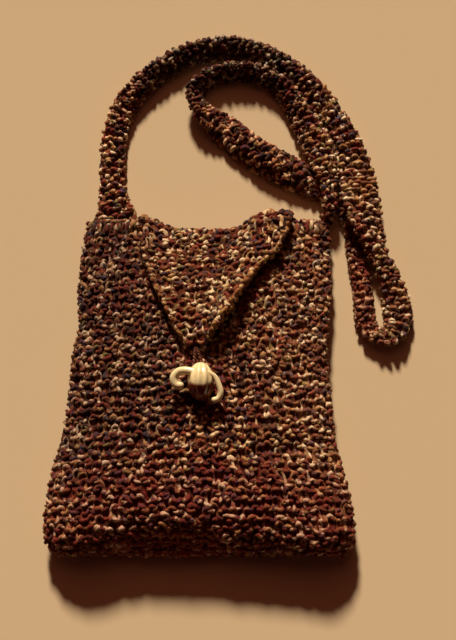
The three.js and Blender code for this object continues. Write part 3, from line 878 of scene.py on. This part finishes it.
def wrapped_map(grid, stitches):
    """Stitches counted round closed sections, with a little more of the cloth past both ends."""
    closed = np.concatenate([grid, grid[:, :1]], axis=1)
    across = run_along(closed)
    across = across / across[:, -1:] * stitches
    more = 1 + closed.shape[1] // WRAP_PARTS
    around = np.concatenate([closed[:, -more:-1], closed, closed[:, 1:more]], axis=1)
    counted = np.concatenate([across[:, -more:-1] - stitches, across, across[:, 1:more] + stitches], axis=1)
    return around, counted


def count_rows(grid, step):
    """Courses or stitches counted from a grid's first row to its last, by the cloth's mean length."""
    runs = np.linalg.norm(np.diff(grid, axis=0), axis=-1).mean(axis=1)
    return np.concatenate([[0], np.cumsum(runs)]) / step


# Materials

# Where the yarn's colour is made darker or paler over the bag: place and half sizes in millimetres, what
# is left of the colour, and the colour that the short lengths of colour share there and how much of it.
# The patch over the dent at the foot is painted light on its shade, and the one over the strap's arch is
# painted shade.
TINT_PATCH_EDGE = (1.25, 0.65)
TINT_AND_PAINTED_LIGHT_PATCHES = (
    ((-80, 20), (70, 135), "c8bab6", "8a6248", 0.05),
    ((92, 0), (60, 110), "fff8ee", "8a6248", 0.28),
    ((0, -140), (200, 75), "e0ccc4", "8a2a20", 0.3),
    # Painted light: lifts the shade in the dent at the foot towards a mid red brown.
    ((-22, -130), (52, 15), "fff6f4", "9a4a38", 0.36),
    ((10, 80), (52, 60), "f8f2e4", "8a6248", 0.12),
    # Painted shade: darkens the strap's arch, whose inner half lies in shade.
    ((10, 275), (75, 40), "b8b4b8", "8a6248", 0.0),
    ((-76, 185), (26, 52), "fff0e8", "8a6248", 0.05),
    ((110, 175), (36, 70), "fffaf4", "8a6248", 0.05),
    ((127, 152), (17, 34), "fffcf4", "a87850", 0.24),
    ((150, 75), (22, 75), "fffcf4", "8a6248", 0.2),
    ((120, 65), (14, 62), "ecd0c4", "8a3a2a", 0.2),
)
# The slow drift of what is left of the colour, over about 110 mm
DYE_DRIFT = ((0.38, "d8b4a8"), (0.62, "ecdcc8"))
DRIFTS_PER_MM = 0.009


def start_material(name, values):
    """A new material with these values on its shader's own sockets, its tree and its shader."""
    material = bpy.data.materials.new(name)
    material.use_nodes = True
    shader = material.node_tree.nodes["Principled BSDF"]
    for socket, value in values.items():
        shader.inputs[socket].default_value = value
    return material, material.node_tree, shader


def set_stops(ramp, stops):
    """Gives a colour ramp its stops, each a place and an sRGB hex colour."""
    elements = ramp.color_ramp.elements
    for place, _ in stops[1:]:
        elements.new(place)
    while len(elements) > len(stops):
        elements.remove(elements[-1])
    for element, (place, colour) in zip(elements, stops):
        element.position = place
        element.color = linear(colour)


def soft_patch(tree, place, middle, half, edge):
    """How far a place is inside an ellipse over the bag: 0 at the edge's first share, 1 at its second."""
    apart = add_node(
        tree, "ShaderNodeVectorMath", {0: place, 1: (middle[0] * MM, middle[1] * MM, 0)},
        operation="SUBTRACT").outputs[0]
    scaled = add_node(
        tree, "ShaderNodeVectorMath", {0: apart, 1: (1 / (half[0] * MM), 1 / (half[1] * MM), 0)},
        operation="MULTIPLY").outputs[0]
    away = add_node(tree, "ShaderNodeVectorMath", {0: scaled}, operation="LENGTH").outputs["Value"]
    return add_node(
        tree, "ShaderNodeMapRange", {0: away, 1: edge[0], 2: edge[1]},
        interpolation_type="SMOOTHSTEP").outputs[0]


def tint_and_painted_light_over_bag(tree, place, colour):
    """A yarn's colour as it is over the bag: a slow drift of the dye, and soft patches of tint, among them
    painted light and painted shade.
    """
    drift = add_node(
        tree, "ShaderNodeTexNoise",
        {"Vector": place, "Scale": DRIFTS_PER_MM / MM, "Detail": 1.0}).outputs[0]
    ramp = add_node(tree, "ShaderNodeValToRGB", {0: drift})
    set_stops(ramp, DYE_DRIFT)
    left = ramp.outputs[0]
    for middle, half, patch_left, patch_blend, amount in TINT_AND_PAINTED_LIGHT_PATCHES:
        share = soft_patch(tree, place, middle, half, TINT_PATCH_EDGE)
        left = add_node(
            tree, "ShaderNodeMix", {0: share, 6: left, 7: linear(patch_left)}, data_type="RGBA").outputs[2]
        blended = add_node(tree, "ShaderNodeMath", {0: share, 1: amount}, operation="MULTIPLY").outputs[0]
        colour = add_node(
            tree, "ShaderNodeMix", {0: blended, 6: colour, 7: linear(patch_blend)}, data_type="RGBA").outputs[2]
    return add_node(
        tree, "ShaderNodeMix", {0: 1.0, 6: colour, 7: left},
        data_type="RGBA", blend_type="MULTIPLY").outputs[2]


# Dyes of the two plies: how many lengths of colour a stitch takes, and each colour from its share on
TWEED_DYES = (
    (2.6, ((0.0, "2c120f"), (0.16, "501c16"), (0.32, "782c24"), (0.5, "8e4430"), (0.6, "40384e"),
           (0.68, "8a5e3a"), (0.78, "c09c6e"), (0.88, "fae8c8"))),
    (3.2, ((0.0, "34140f"), (0.16, "5e2418"), (0.32, "803026"), (0.46, "8c603a"), (0.57, "c8a476"),
           (0.67, "f0dcb8"), (0.76, "8c8650"), (0.84, "fff4d8"), (0.92, "463c58"))),
)
GOLDEN_DYES = (
    (2.4, ((0.0, "6a3a20"), (0.2, "8c5c34"), (0.45, "b08450"), (0.65, "d0a870"), (0.85, "f0d8a8"))),
    (3.0, ((0.0, "5a2c1a"), (0.25, "946038"), (0.5, "c09458"), (0.75, "e8cc98"))),
)


# The plies turn this often in a stitch, and the second one's colours start this far along the yarn
PLY_TURNS = 3
SECOND_PLY_START = 513.7
# Where one ply goes over into the other, and how much of the second ply's colour shows on the two
PLY_EDGE = (-0.25, 0.25)
PLY_SHARE = (0.06, 0.78)
# Wool fibres about 0.7 mm apart, their share in the relief, and how deep the relief is in millimetres
FIBRES_PER_MM = 1.4
FIBRE_SHARE = 0.6
PLY_RELIEF = 0.5


def knitted_yarn():
    """The bag's own yarn, of many colours."""
    return tweed_yarn("plied tweed yarn", TWEED_DYES)


def selvage_yarn():
    """The paler golden yarn along the flap's edges."""
    return tweed_yarn("golden tweed yarn", GOLDEN_DYES)


def tweed_yarn(name, dyes):
    """Plied tweed yarn, part wool: dull, a little hairy, spun from short lengths of many colours."""
    material, tree, shader = start_material(name, {
        "Roughness": 0.88,
        "Specular IOR Level": 0.25,
        "Subsurface Weight": 0.2,
        "Subsurface Radius": (1.0, 0.35, 0.2),
        "Subsurface Scale": 2.0 * MM,
        "Sheen Weight": 0.12,
        "Sheen Roughness": 0.5,
        "Sheen Tint": linear("e8c9a0"),
    })
    yarn = add_node(tree, "ShaderNodeAttribute", attribute_name="yarn").outputs["Vector"]
    round_yarn = add_node(tree, "ShaderNodeAttribute", attribute_name="round").outputs["Vector"]
    length = add_node(tree, "ShaderNodeSeparateXYZ", {0: yarn}).outputs[0]
    turned = add_node(tree, "ShaderNodeSeparateXYZ", {0: round_yarn}).outputs
    angle = add_node(tree, "ShaderNodeMath", {0: turned[1], 1: turned[0]}, operation="ARCTAN2").outputs[0]

    # Two plies wind round each other
    twist = add_node(
        tree, "ShaderNodeMath", {0: length, 1: PLY_TURNS * math.tau, 2: angle},
        operation="MULTIPLY_ADD").outputs[0]
    ply = add_node(tree, "ShaderNodeMath", {0: twist}, operation="SINE").outputs[0]

    # Short spun lengths of colour, less than half a stitch each, different on the two plies
    second = add_node(
        tree, "ShaderNodeMath", {0: length, 1: SECOND_PLY_START}, operation="ADD").outputs[0]
    colours = []
    for along, (scale, stops) in zip((length, second), dyes):
        cell = add_node(
            tree, "ShaderNodeTexVoronoi", {"W": along, "Scale": scale},
            voronoi_dimensions="1D").outputs["Color"]
        chance = add_node(tree, "ShaderNodeSeparateColor", {0: cell}).outputs[0]
        ramp = add_node(tree, "ShaderNodeValToRGB", {0: chance})
        ramp.color_ramp.interpolation = "CONSTANT"
        set_stops(ramp, stops)
        colours.append(ramp.outputs[0])
    which = add_node(
        tree, "ShaderNodeMapRange",
        {0: ply, 1: PLY_EDGE[0], 2: PLY_EDGE[1], 3: PLY_SHARE[0], 4: PLY_SHARE[1]}).outputs[0]
    plies = add_node(
        tree, "ShaderNodeMix", {0: which, 6: colours[0], 7: colours[1]}, data_type="RGBA").outputs[2]
    place = add_node(tree, "ShaderNodeTexCoord").outputs["Object"]
    tree.links.new(tint_and_painted_light_over_bag(tree, place, plies), shader.inputs["Base Color"])

    # Grooves between the plies and fine wool fibres
    groove = add_node(tree, "ShaderNodeMath", {0: ply}, operation="ABSOLUTE").outputs[0]
    fibre = add_node(
        tree, "ShaderNodeTexNoise",
        {"Vector": place, "Scale": FIBRES_PER_MM / MM, "Detail": 2.0}).outputs[0]
    relief = add_node(
        tree, "ShaderNodeMath", {0: fibre, 1: FIBRE_SHARE, 2: groove}, operation="MULTIPLY_ADD").outputs[0]
    bump = add_node(
        tree, "ShaderNodeBump",
        {"Strength": 0.6, "Distance": PLY_RELIEF * MM, "Height": relief}).outputs[0]
    tree.links.new(bump, shader.inputs["Normal"])
    return material


# Painted shade of the cloth's depths from a loop's middle outwards, darkest between the loops; loops about
# 6.7 mm apart, and how deep they are felt in millimetres
CLOTH_SHADE_TONES = ((0.1, "64281a"), (0.8, "34120b"))
CLOTH_LOOPS_PER_MM = 0.15
CLOTH_RELIEF = 1.5


def cloth_wall():
    """Inside of thick knitting, painted with the shade of the depths between stitches: near black between
    the loops, with the stitches felt as soft bumps.
    """
    material, tree, shader = start_material(
        "knitted cloth wall", {"Roughness": 0.95, "Specular IOR Level": 0.1})
    place = add_node(tree, "ShaderNodeTexCoord").outputs["Object"]
    loops = add_node(
        tree, "ShaderNodeTexVoronoi", {"Vector": place, "Scale": CLOTH_LOOPS_PER_MM / MM},
        feature="F1").outputs["Distance"]
    ramp = add_node(tree, "ShaderNodeValToRGB", {0: loops})
    set_stops(ramp, CLOTH_SHADE_TONES)
    tree.links.new(tint_and_painted_light_over_bag(tree, place, ramp.outputs[0]), shader.inputs["Base Color"])
    bump = add_node(
        tree, "ShaderNodeBump", {"Strength": 0.5, "Distance": CLOTH_RELIEF * MM, "Height": loops},
        invert=True).outputs[0]
    tree.links.new(bump, shader.inputs["Normal"])
    return material


# Fibres about 1.4 mm apart, drawn as coarse as they need to be to show
LOOP_DYES = ((0.3, "4a1a12"), (0.7, "8a4a34"))
LOOP_FIBRES_PER_MM = 0.7
LOOP_RELIEF = 0.3


def loop_yarn():
    """Thin two-ply yarn, reddish brown, twisted tight."""
    material, tree, shader = start_material(
        "twisted red brown yarn", {"Roughness": 0.8, "Sheen Weight": 0.15})
    place = add_node(tree, "ShaderNodeTexCoord").outputs["Object"]
    fibre = add_node(
        tree, "ShaderNodeTexNoise",
        {"Vector": place, "Scale": LOOP_FIBRES_PER_MM / MM, "Detail": 3.0}).outputs[0]
    ramp = add_node(tree, "ShaderNodeValToRGB", {0: fibre})
    set_stops(ramp, LOOP_DYES)
    tree.links.new(ramp.outputs[0], shader.inputs["Base Color"])
    bump = add_node(
        tree, "ShaderNodeBump",
        {"Strength": 0.4, "Distance": LOOP_RELIEF * MM, "Height": fibre}).outputs[0]
    tree.links.new(bump, shader.inputs["Normal"])
    return material


# Cream on what stands out and brown in the grooves, with a grain about 4 mm wide
IVORY_TONES = ((0.48, "c88a40"), (0.53, "fff0bc"))
IVORY_GRAINS_PER_MM = 0.26
IVORY_GRAIN_SHARE = 0.05
# Painted shade in brown on the bead's lower end, and its soft edges, on the bead alone and away from the
# toggle's place
BEAD_END_PAINTED_SHADE = "6a2412"
PAINTED_SHADE_ON_BEAD = (1.08, 0.98)
PAINTED_SHADE_EDGE = (0.88, 1.1)


def ivory_resin():
    """Carved and polished bone-like resin: cream, glossy, browner in its grooves, with painted brown shade
    at its lower end.
    """
    material, tree, shader = start_material("polished ivory resin", {
        "Roughness": 0.24,
        "IOR": 1.54,
        "Subsurface Weight": 0.05,
        "Subsurface Radius": (1.0, 0.6, 0.35),
        "Subsurface Scale": 1.5 * MM,
    })
    hollow = add_node(tree, "ShaderNodeNewGeometry").outputs["Pointiness"]
    place = add_node(tree, "ShaderNodeTexCoord").outputs["Object"]
    grain = add_node(
        tree, "ShaderNodeTexNoise",
        {"Vector": place, "Scale": IVORY_GRAINS_PER_MM / MM, "Detail": 3.0}).outputs[0]
    uneven = add_node(
        tree, "ShaderNodeMath", {0: grain, 1: IVORY_GRAIN_SHARE, 2: hollow},
        operation="MULTIPLY_ADD").outputs[0]
    ramp = add_node(tree, "ShaderNodeValToRGB", {0: uneven})
    set_stops(ramp, IVORY_TONES)
    # Painted shade: the bead's lower end, away from the toggle's place, is mixed towards dark brown.
    bead = (TOGGLE_PLACE[0], TOGGLE_PLACE[1] + BEAD_ASIDE)
    on_bead = soft_patch(tree, place, bead, (BEAD_ACROSS / 2, BEAD_ALONG / 2), PAINTED_SHADE_ON_BEAD)
    below = soft_patch(tree, place, TOGGLE_PLACE, (CREAM_REACH, CREAM_REACH), PAINTED_SHADE_EDGE)
    painted_shade = add_node(tree, "ShaderNodeMath", {0: on_bead, 1: below}, operation="MULTIPLY").outputs[0]
    colour = add_node(
        tree, "ShaderNodeMix", {0: painted_shade, 6: ramp.outputs[0], 7: linear(BEAD_END_PAINTED_SHADE)},
        data_type="RGBA").outputs[2]
    tree.links.new(colour, shader.inputs["Base Color"])
    return material


def plain_floor(colour):
    """A plain pale floor, quite matt."""
    values = {"Base Color": linear(colour), "Roughness": 0.9, "Specular IOR Level": 0.1}
    return start_material("plain pale floor", values)[0]


SHARED = {}


def shared(make):
    """The material that a function makes, made once."""
    if make.__name__ not in SHARED:
        SHARED[make.__name__] = make()
    return SHARED[make.__name__]


def finish_piece(thing):
    """Lets a piece ride on the bag's one body."""
    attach(thing, BODY)


class KNITBAG_OT_pouch(bpy.types.Operator):
    """Knits the pouch: a hollow wall of cloth under courses of loops"""

    bl_idname = "knit_bag.pouch"
    bl_label = "Pouch"

    def execute(self, context):
        yarn = context.scene.knit_bag_yarn
        angles = -math.pi / 2 + full_turn(POUCH_AROUND)
        outer = pouch_rings(angles[::2], POUCH_CORE_INSET, POUCH_CORE_INSET, POUCH_WALL_STEP)
        inner = pouch_rings(angles[::2], KNIT_WALL, SIDE_WALL, POUCH_WALL_STEP)
        wall = skin_rings("pouch_cloth", np.array(outer + inner[::-1]), shared(cloth_wall))
        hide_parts("pouch")

        grid = self.cloth_to_knit(angles)
        around, across = wrapped_map(grid, POUCH_STITCHES)
        up = count_rows(grid, yarn.course / MM)
        outward = -grid_normals(around)
        courses = int(up[-1])
        low = courses // 2
        pieces = []
        for name, first, count, reach in (
            ("pouch_stitches_low", 0, low, POUCH_LOW_REACH),
            ("pouch_stitches_high", low, courses - low, POUCH_HIGH_REACH),
        ):
            helper = cloth_map(name, around, across, up[:, None], outward)
            pieces.append(knit_on(name, helper, yarn_values(
                yarn, shared(knitted_yarn), Stitches=POUCH_STITCHES, Courses=count, Highest=float(up[-1]),
                **{"First Course": float(first), "Loop Reach": reach})))
        for piece in (wall, *pieces):
            finish_piece(piece)
        return {"FINISHED"}

    def cloth_to_knit(self, angles):
        """Sections of the pouch's outer face, from its closed foot over the rim and a little inside."""
        rings = pouch_rings(angles, 0, 0, POUCH_STITCH_STEP)
        end = rings[0]
        middle = (end[:, 2].max() + end[:, 2].min()) / 2
        cap = []
        for share in CAP_SHARES:
            ring = end.copy()
            ring[:, 2] = middle + (end[:, 2] - middle) * share
            cap.append(ring)
        rim = []
        for inset, out in RIM_ROUND:
            ring = pouch_ring(POUCH_MOUTH, angles, inset, inset * RIM_SIDE_SHARE)
            rim.append(ring + np.array([0, out, 0]))
        inside = [pouch_ring(POUCH_MOUTH - depth, angles, KNIT_WALL, SIDE_WALL) for depth in INSIDE_DEPTHS]
        return np.array(cap + rings + rim + inside)


class KNITBAG_OT_flap(bpy.types.Operator):
    """Knits the pointed flap"""

    bl_idname = "knit_bag.flap"
    bl_label = "Flap"

    def execute(self, context):
        yarn = context.scene.knit_bag_yarn
        middle = flap_grid(FLAP_ACROSS, FLAP_DOWN)
        normal = -grid_normals(middle)
        upper = middle + normal * FLAP_CORE_HALF
        lower = middle - normal * FLAP_CORE_HALF
        both = np.concatenate([lower, upper[:, ::-1]], axis=1)
        wall = skin_rings("flap_cloth", both, shared(cloth_wall))
        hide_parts("flap")

        # The cloth's outer face, with both edges turned under
        left = unit(middle[:, 0] - middle[:, 1])
        right = unit(middle[:, -1] - middle[:, -2])
        turns = np.radians(FLAP_EDGE_TURNS)
        left_out = turn_from(normal[:, 0], left, turns)
        right_out = turn_from(normal[:, -1], right, turns[::-1])
        outward = np.concatenate([left_out, normal, right_out], axis=1)
        edge = len(turns)
        outer = np.pad(middle, ((0, 0), (edge, edge), (0, 0)), mode="edge") + KNIT_WALL / 2 * outward
        across = run_along(outer)
        halfway = edge + FLAP_ACROSS // 2
        across = (across - across[:, halfway:halfway + 1]) / (yarn.stitch / MM)
        up = count_rows(outer, yarn.course / MM)

        # The first stitch of a course lies past the left edge, and only what is on the cloth is kept
        first = math.floor(across.min()) - 1
        stitches = math.ceil(across.max()) + 1 - first
        helper = cloth_map("flap_stitches", outer, across, up[:, None], outward)
        pieces = [knit_on("flap_stitches", helper, yarn_values(
            yarn, shared(knitted_yarn), Stitches=stitches, Courses=int(up[-1]), Highest=float(up[-1]),
            Closed=False, **{"First Stitch": float(first), "Loop Rise": FLAP_RISE * MM}))]
        for name, column, aside in (("flap_selvage_left", 0, left), ("flap_selvage_right", -1, right)):
            pieces.append(self.make_selvage(name, yarn, middle[:, column], normal[:, column], aside))
        for piece in (wall, *pieces):
            finish_piece(piece)
        return {"FINISHED"}

    def make_selvage(self, name, yarn, edge, normal, aside):
        """One course of paler loops along an edge of the flap, from its crest down to its point."""
        front = slice(SELVAGE_FROM, None)
        outward = turn_from(normal[front], aside[front], np.radians(SELVAGE_TURNS))
        grid = edge[front, None] + KNIT_WALL / 2 * outward
        along = count_rows(grid, yarn.stitch / MM)
        up = np.linspace(0, SELVAGE_COURSES, len(SELVAGE_TURNS))
        helper = cloth_map(name, grid.swapaxes(0, 1), along, up[:, None], outward.swapaxes(0, 1))
        return knit_on(name, helper, yarn_values(
            yarn, shared(selvage_yarn), Stitches=int(along[-1]), Courses=SELVAGE_COURSES, Closed=False,
            Highest=float(SELVAGE_COURSES),
            **{"Loop Rise": SELVAGE_RISE * MM, "Loop Reach": SELVAGE_REACH}))


class KNITBAG_OT_strap(bpy.types.Operator):
    """Knits the long strap"""

    bl_idname = "knit_bag.strap"
    bl_label = "Strap"

    def execute(self, context):
        yarn = context.scene.knit_bag_yarn
        angles = -math.pi / 2 + full_turn(STRAP_AROUND)
        runs = np.linspace(0, STRAP_LENGTH, STRAP_WALL_RINGS)
        core = strap_rings(runs, angles[::2], STRAP_CORE_INSET)
        wall = skin_rings("strap_cloth", core, shared(cloth_wall))
        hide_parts("strap")

        grid = strap_rings(np.linspace(0, STRAP_LENGTH, STRAP_STITCH_RINGS), angles, 0)
        around, across = wrapped_map(grid, STRAP_STITCHES)
        up = count_rows(grid, yarn.course / MM)
        helper = cloth_map("strap_stitches", around, across, up[:, None], grid_normals(around))
        piece = knit_on("strap_stitches", helper, yarn_values(
            yarn, shared(knitted_yarn), Stitches=STRAP_STITCHES, Courses=int(up[-1]), Highest=float(up[-1]),
            Wander=STRAP_WANDER, **{
                "Loop Rise": STRAP_RISE * MM, "Loop Depth": STRAP_DEPTH * MM, "Loop Reach": STRAP_REACH}))
        for thing in (wall, piece):
            finish_piece(thing)
        return {"FINISHED"}


class KNITBAG_OT_closure(bpy.types.Operator):
    """Makes the ivory toggle, its yarn shank and the yarn loop round it"""

    bl_idname = "knit_bag.closure"
    bl_label = "Toggle and Loop"

    def execute(self, context):
        seat = float(front_height(np.array(TOGGLE_PLACE[0]), np.array(TOGGLE_PLACE[1])))
        toggle = self.make_toggle(seat + BEAD_STAND + BEAD_BASE)
        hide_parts("toggle")
        finish_piece(toggle)
        loop = self.make_loop()
        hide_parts("button_loop")
        finish_piece(loop)
        shank = self.make_shank(seat)
        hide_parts("toggle_shank")
        finish_piece(shank)
        return {"FINISHED"}

    def make_toggle(self, height):
        """A domed and ribbed bead, nearly flat below, and two curls with round tips, fused and polished."""
        around, down = np.meshgrid(
            full_turn(BEAD_AROUND), np.linspace(BEAD_POLE, math.pi - BEAD_POLE, BEAD_BANDS))
        rib = 1 + BEAD_RIB_DEPTH * (np.cos(around * BEAD_RIBS) - BEAD_RIB_SHARE)
        tall = np.where(np.sin(around) > 0, BEAD_CROWN, BEAD_BASE)
        bead = np.stack([
            np.sin(down) * np.cos(around) * rib * BEAD_ACROSS / 2,
            np.cos(down) * BEAD_ALONG / 2 + BEAD_ASIDE,
            np.sin(down) * np.sin(around) * rib * tall], axis=-1)
        parts = [skin_rings("toggle_resin", bead, shared(ivory_resin))]
        for points, thick in zip((LEFT_CURL, RIGHT_CURL), CURL_THICK):
            parts.append(self.make_curl(points, thick))
        toggle = parts[0]
        with bpy.context.temp_override(
            active_object=toggle, object=toggle, selected_objects=parts, selected_editable_objects=parts
        ):
            bpy.ops.object.join()
        remesh = toggle.modifiers.new("fuse", "REMESH")
        remesh.mode = "VOXEL"
        remesh.voxel_size = TOGGLE_GRAIN * MM
        relax = toggle.modifiers.new("polish", "SMOOTH")
        relax.factor = TOGGLE_POLISH
        relax.iterations = TOGGLE_POLISHINGS
        mesh = plain_mesh(toggle)
        toggle.modifiers.clear()
        rough = toggle.data
        toggle.data = mesh
        bpy.data.meshes.remove(rough)
        mesh.name = "toggle_resin"
        mesh.transform(Matrix.Translation(Vector((*TOGGLE_PLACE, height)) * MM))
        mesh.shade_smooth()
        return toggle

    def make_curl(self, points, thick):
        """One round horn along its points, with a round tip at its free end."""
        points = np.asarray(points, float)
        runs = run_along(points)
        route = smooth_table(("run", "x", "y", "z"), np.column_stack([runs, points]))
        along = np.linspace(0, runs[-1], CURL_RINGS)
        found = route(along)
        path = np.stack([found["x"], found["y"], found["z"]], axis=-1)
        travel = unit(np.gradient(path, axis=0))
        aside, over = beside(travel)
        rounding = np.clip(1 - (runs[-1] - along) / (thick / 2), 0, 1)
        radius = thick / 2 * np.sqrt(np.clip(1 - rounding ** 2, CURL_TIP, 1))
        turned = turn_from(aside, over, full_turn(CURL_AROUND))
        return skin_rings("curl", path[:, None] + radius[:, None, None] * turned, shared(ivory_resin))

    def make_plies(self, name, path, thick, turns, closed):
        """Two plies of yarn twisted about a path that is never upright."""
        steps = len(path)
        travel = np.gradient(path, axis=0)
        if closed:
            travel = np.roll(path, -1, axis=0) - np.roll(path, 1, axis=0)
        aside, over = beside(unit(travel))
        turned = turn_from(aside, over, full_turn(PLY_SIDES))
        skin = grid_faces(steps, PLY_SIDES, closed=True)
        if closed:
            skin = grid_faces(steps + 1, PLY_SIDES, closed=True) % (steps * PLY_SIDES)
        points = []
        faces = []
        for ply in (0, math.pi):
            twist = np.linspace(0, turns * math.tau, steps, endpoint=not closed)[:, None] + ply
            centre = path + thick * PLY_APART * (aside * np.cos(twist) + over * np.sin(twist))
            first = len(points) * steps * PLY_SIDES
            last = first + (steps - 1) * PLY_SIDES
            points.append((centre[:, None] + thick * PLY_RADIUS * turned).reshape(-1, 3))
            faces.extend((skin + first).tolist())
            if not closed:
                faces.append(list(range(first, first + PLY_SIDES)))
                faces.append(list(range(last, last + PLY_SIDES)))
        thing = mesh_object(name, np.concatenate(points), faces, shared(loop_yarn))
        face_outwards(thing)
        return thing

    def make_loop(self):
        """A drop of thin twisted yarn, narrow at the flap's point and wide round the shank."""
        tip = flap_front(np.array(1.0), np.array(0.5))
        top_y = tip[1] - LOOP_THICK / 2 - LAID_GAP
        angle = full_turn(LOOP_STEPS)
        share = (1 - np.cos(angle)) / 2
        wide = LOOP_NECK + (LOOP_REACH - LOOP_NECK) * share ** 2
        y = top_y + (TOGGLE_PLACE[1] - LOOP_TAIL - top_y) * share
        x = tip[0] + (TOGGLE_PLACE[0] - tip[0]) * share + wide * np.sin(angle)
        path = np.stack([x, y, front_height(x, y) + LOOP_THICK / 2 + LAID_GAP], axis=-1)
        return self.make_plies("button_loop_yarn", path, LOOP_THICK, LOOP_TWISTS, True)

    def make_shank(self, seat):
        """Yarn wound in a tight post under the toggle."""
        angle = np.linspace(0, SHANK_COILS * math.tau, SHANK_STEPS)
        rise = np.linspace(SHANK_END, SHANK_TALL - SHANK_END, SHANK_STEPS)
        path = np.stack([
            TOGGLE_PLACE[0] + SHANK_COIL * np.cos(angle),
            TOGGLE_PLACE[1] + SHANK_COIL * np.sin(angle),
            seat + PIECE_GAP + rise], axis=-1)
        return self.make_plies("toggle_shank_yarn", path, SHANK_YARN, SHANK_TWISTS, False)


class KNITBAG_OT_stage(bpy.types.Operator):
    """Sets the plain floor, the lights and the camera"""

    bl_idname = "knit_bag.stage"
    bl_label = "Stage"

    def execute(self, context):
        stage = context.scene.knit_bag_stage
        corners = [(x * FLOOR_REACH, y * FLOOR_REACH, -FLOOR_DROP) for x, y in FLOOR_CORNERS]
        floor = mesh_object("floor", corners, [(0, 1, 2, 3)], plain_floor(stage.floor))

        world = bpy.data.worlds.new("soft room")
        world.use_nodes = True
        back = world.node_tree.nodes["Background"]
        back.inputs["Color"].default_value = linear(FILL_COLOUR)
        back.inputs["Strength"].default_value = stage.fill
        context.scene.world = world

        self.add_sun("key", stage.key, stage.key_size, KEY_COLOUR, KEY_LIFT)
        self.add_sun("ceiling", stage.ceiling, math.radians(CEILING_SIZE), CEILING_COLOUR, CEILING_LIFT)

        lens = bpy.data.cameras.new("camera")
        lens.sensor_fit = "VERTICAL"
        lens.sensor_height = CAMERA_SENSOR
        lens.lens = CAMERA_FOCAL_PIXELS / PHOTO_SIZE[1] * CAMERA_SENSOR
        lens.clip_start = CAMERA_NEAR
        camera = bpy.data.objects.new("camera", lens)
        lift = math.radians(CAMERA_ELEVATION)
        away = Vector((0, -math.cos(lift), math.sin(lift)))
        camera.location = Vector(CAMERA_AIM) + away * CAMERA_AWAY
        camera.rotation_euler = away.to_track_quat("Z", "Y").to_euler()
        context.scene.collection.objects.link(camera)
        context.scene.camera = camera
        context.scene.view_settings.view_transform = "Standard"
        return {"FINISHED"}

    def add_sun(self, name, strength, size, colour, lift):
        """A light from behind the bag's mouth and a little to the left, at a lift in degrees."""
        light = bpy.data.lights.new(name, "SUN")
        light.angle = size
        light.energy = strength
        light.color = linear(colour)[:3]
        lamp = bpy.data.objects.new(name, light)
        lift = math.radians(lift)
        side = math.radians(LIGHT_SIDE)
        away = Vector((-math.sin(side) * math.cos(lift), math.cos(side) * math.cos(lift), math.sin(lift)))
        lamp.location = Vector(CAMERA_AIM) + away * LIGHT_AWAY
        lamp.rotation_euler = away.to_track_quat("Z", "Y").to_euler()
        bpy.context.scene.collection.objects.link(lamp)


class KNITBAG_PT_sidebar(bpy.types.Panel):
    """Lists the bag's pieces and sizes"""

    bl_label = "Knit Bag"
    bl_idname = "KNITBAG_PT_sidebar"
    bl_space_type = "VIEW_3D"
    bl_region_type = "UI"
    bl_category = "Knit Bag"

    def draw(self, context):
        for group in (context.scene.knit_bag_yarn, context.scene.knit_bag_stage):
            for name in group.__annotations__:
                self.layout.prop(group, name)
        for operator in OPERATORS:
            self.layout.operator(operator.bl_idname)


GROUPS = {"knit_bag_yarn": KnitBagYarn, "knit_bag_stage": KnitBagStage}
OPERATORS = (
    KNITBAG_OT_stage,
    KNITBAG_OT_pouch,
    KNITBAG_OT_flap,
    KNITBAG_OT_strap,
    KNITBAG_OT_closure,
)


def register():
    for kind in (*GROUPS.values(), *OPERATORS, KNITBAG_PT_sidebar):
        bpy.utils.register_class(kind)
    for name, group in GROUPS.items():
        setattr(bpy.types.Scene, name, bpy.props.PointerProperty(type=group))


def unregister():
    for name in GROUPS:
        delattr(bpy.types.Scene, name)
    for kind in (KNITBAG_PT_sidebar, *reversed(OPERATORS), *reversed(GROUPS.values())):
        bpy.utils.unregister_class(kind)


def main():
    register()
    bpy.ops.knit_bag.stage()
    bpy.ops.knit_bag.pouch()
    bpy.ops.knit_bag.flap()
    bpy.ops.knit_bag.strap()
    bpy.ops.knit_bag.closure()


if __name__ == "__main__":
    main()
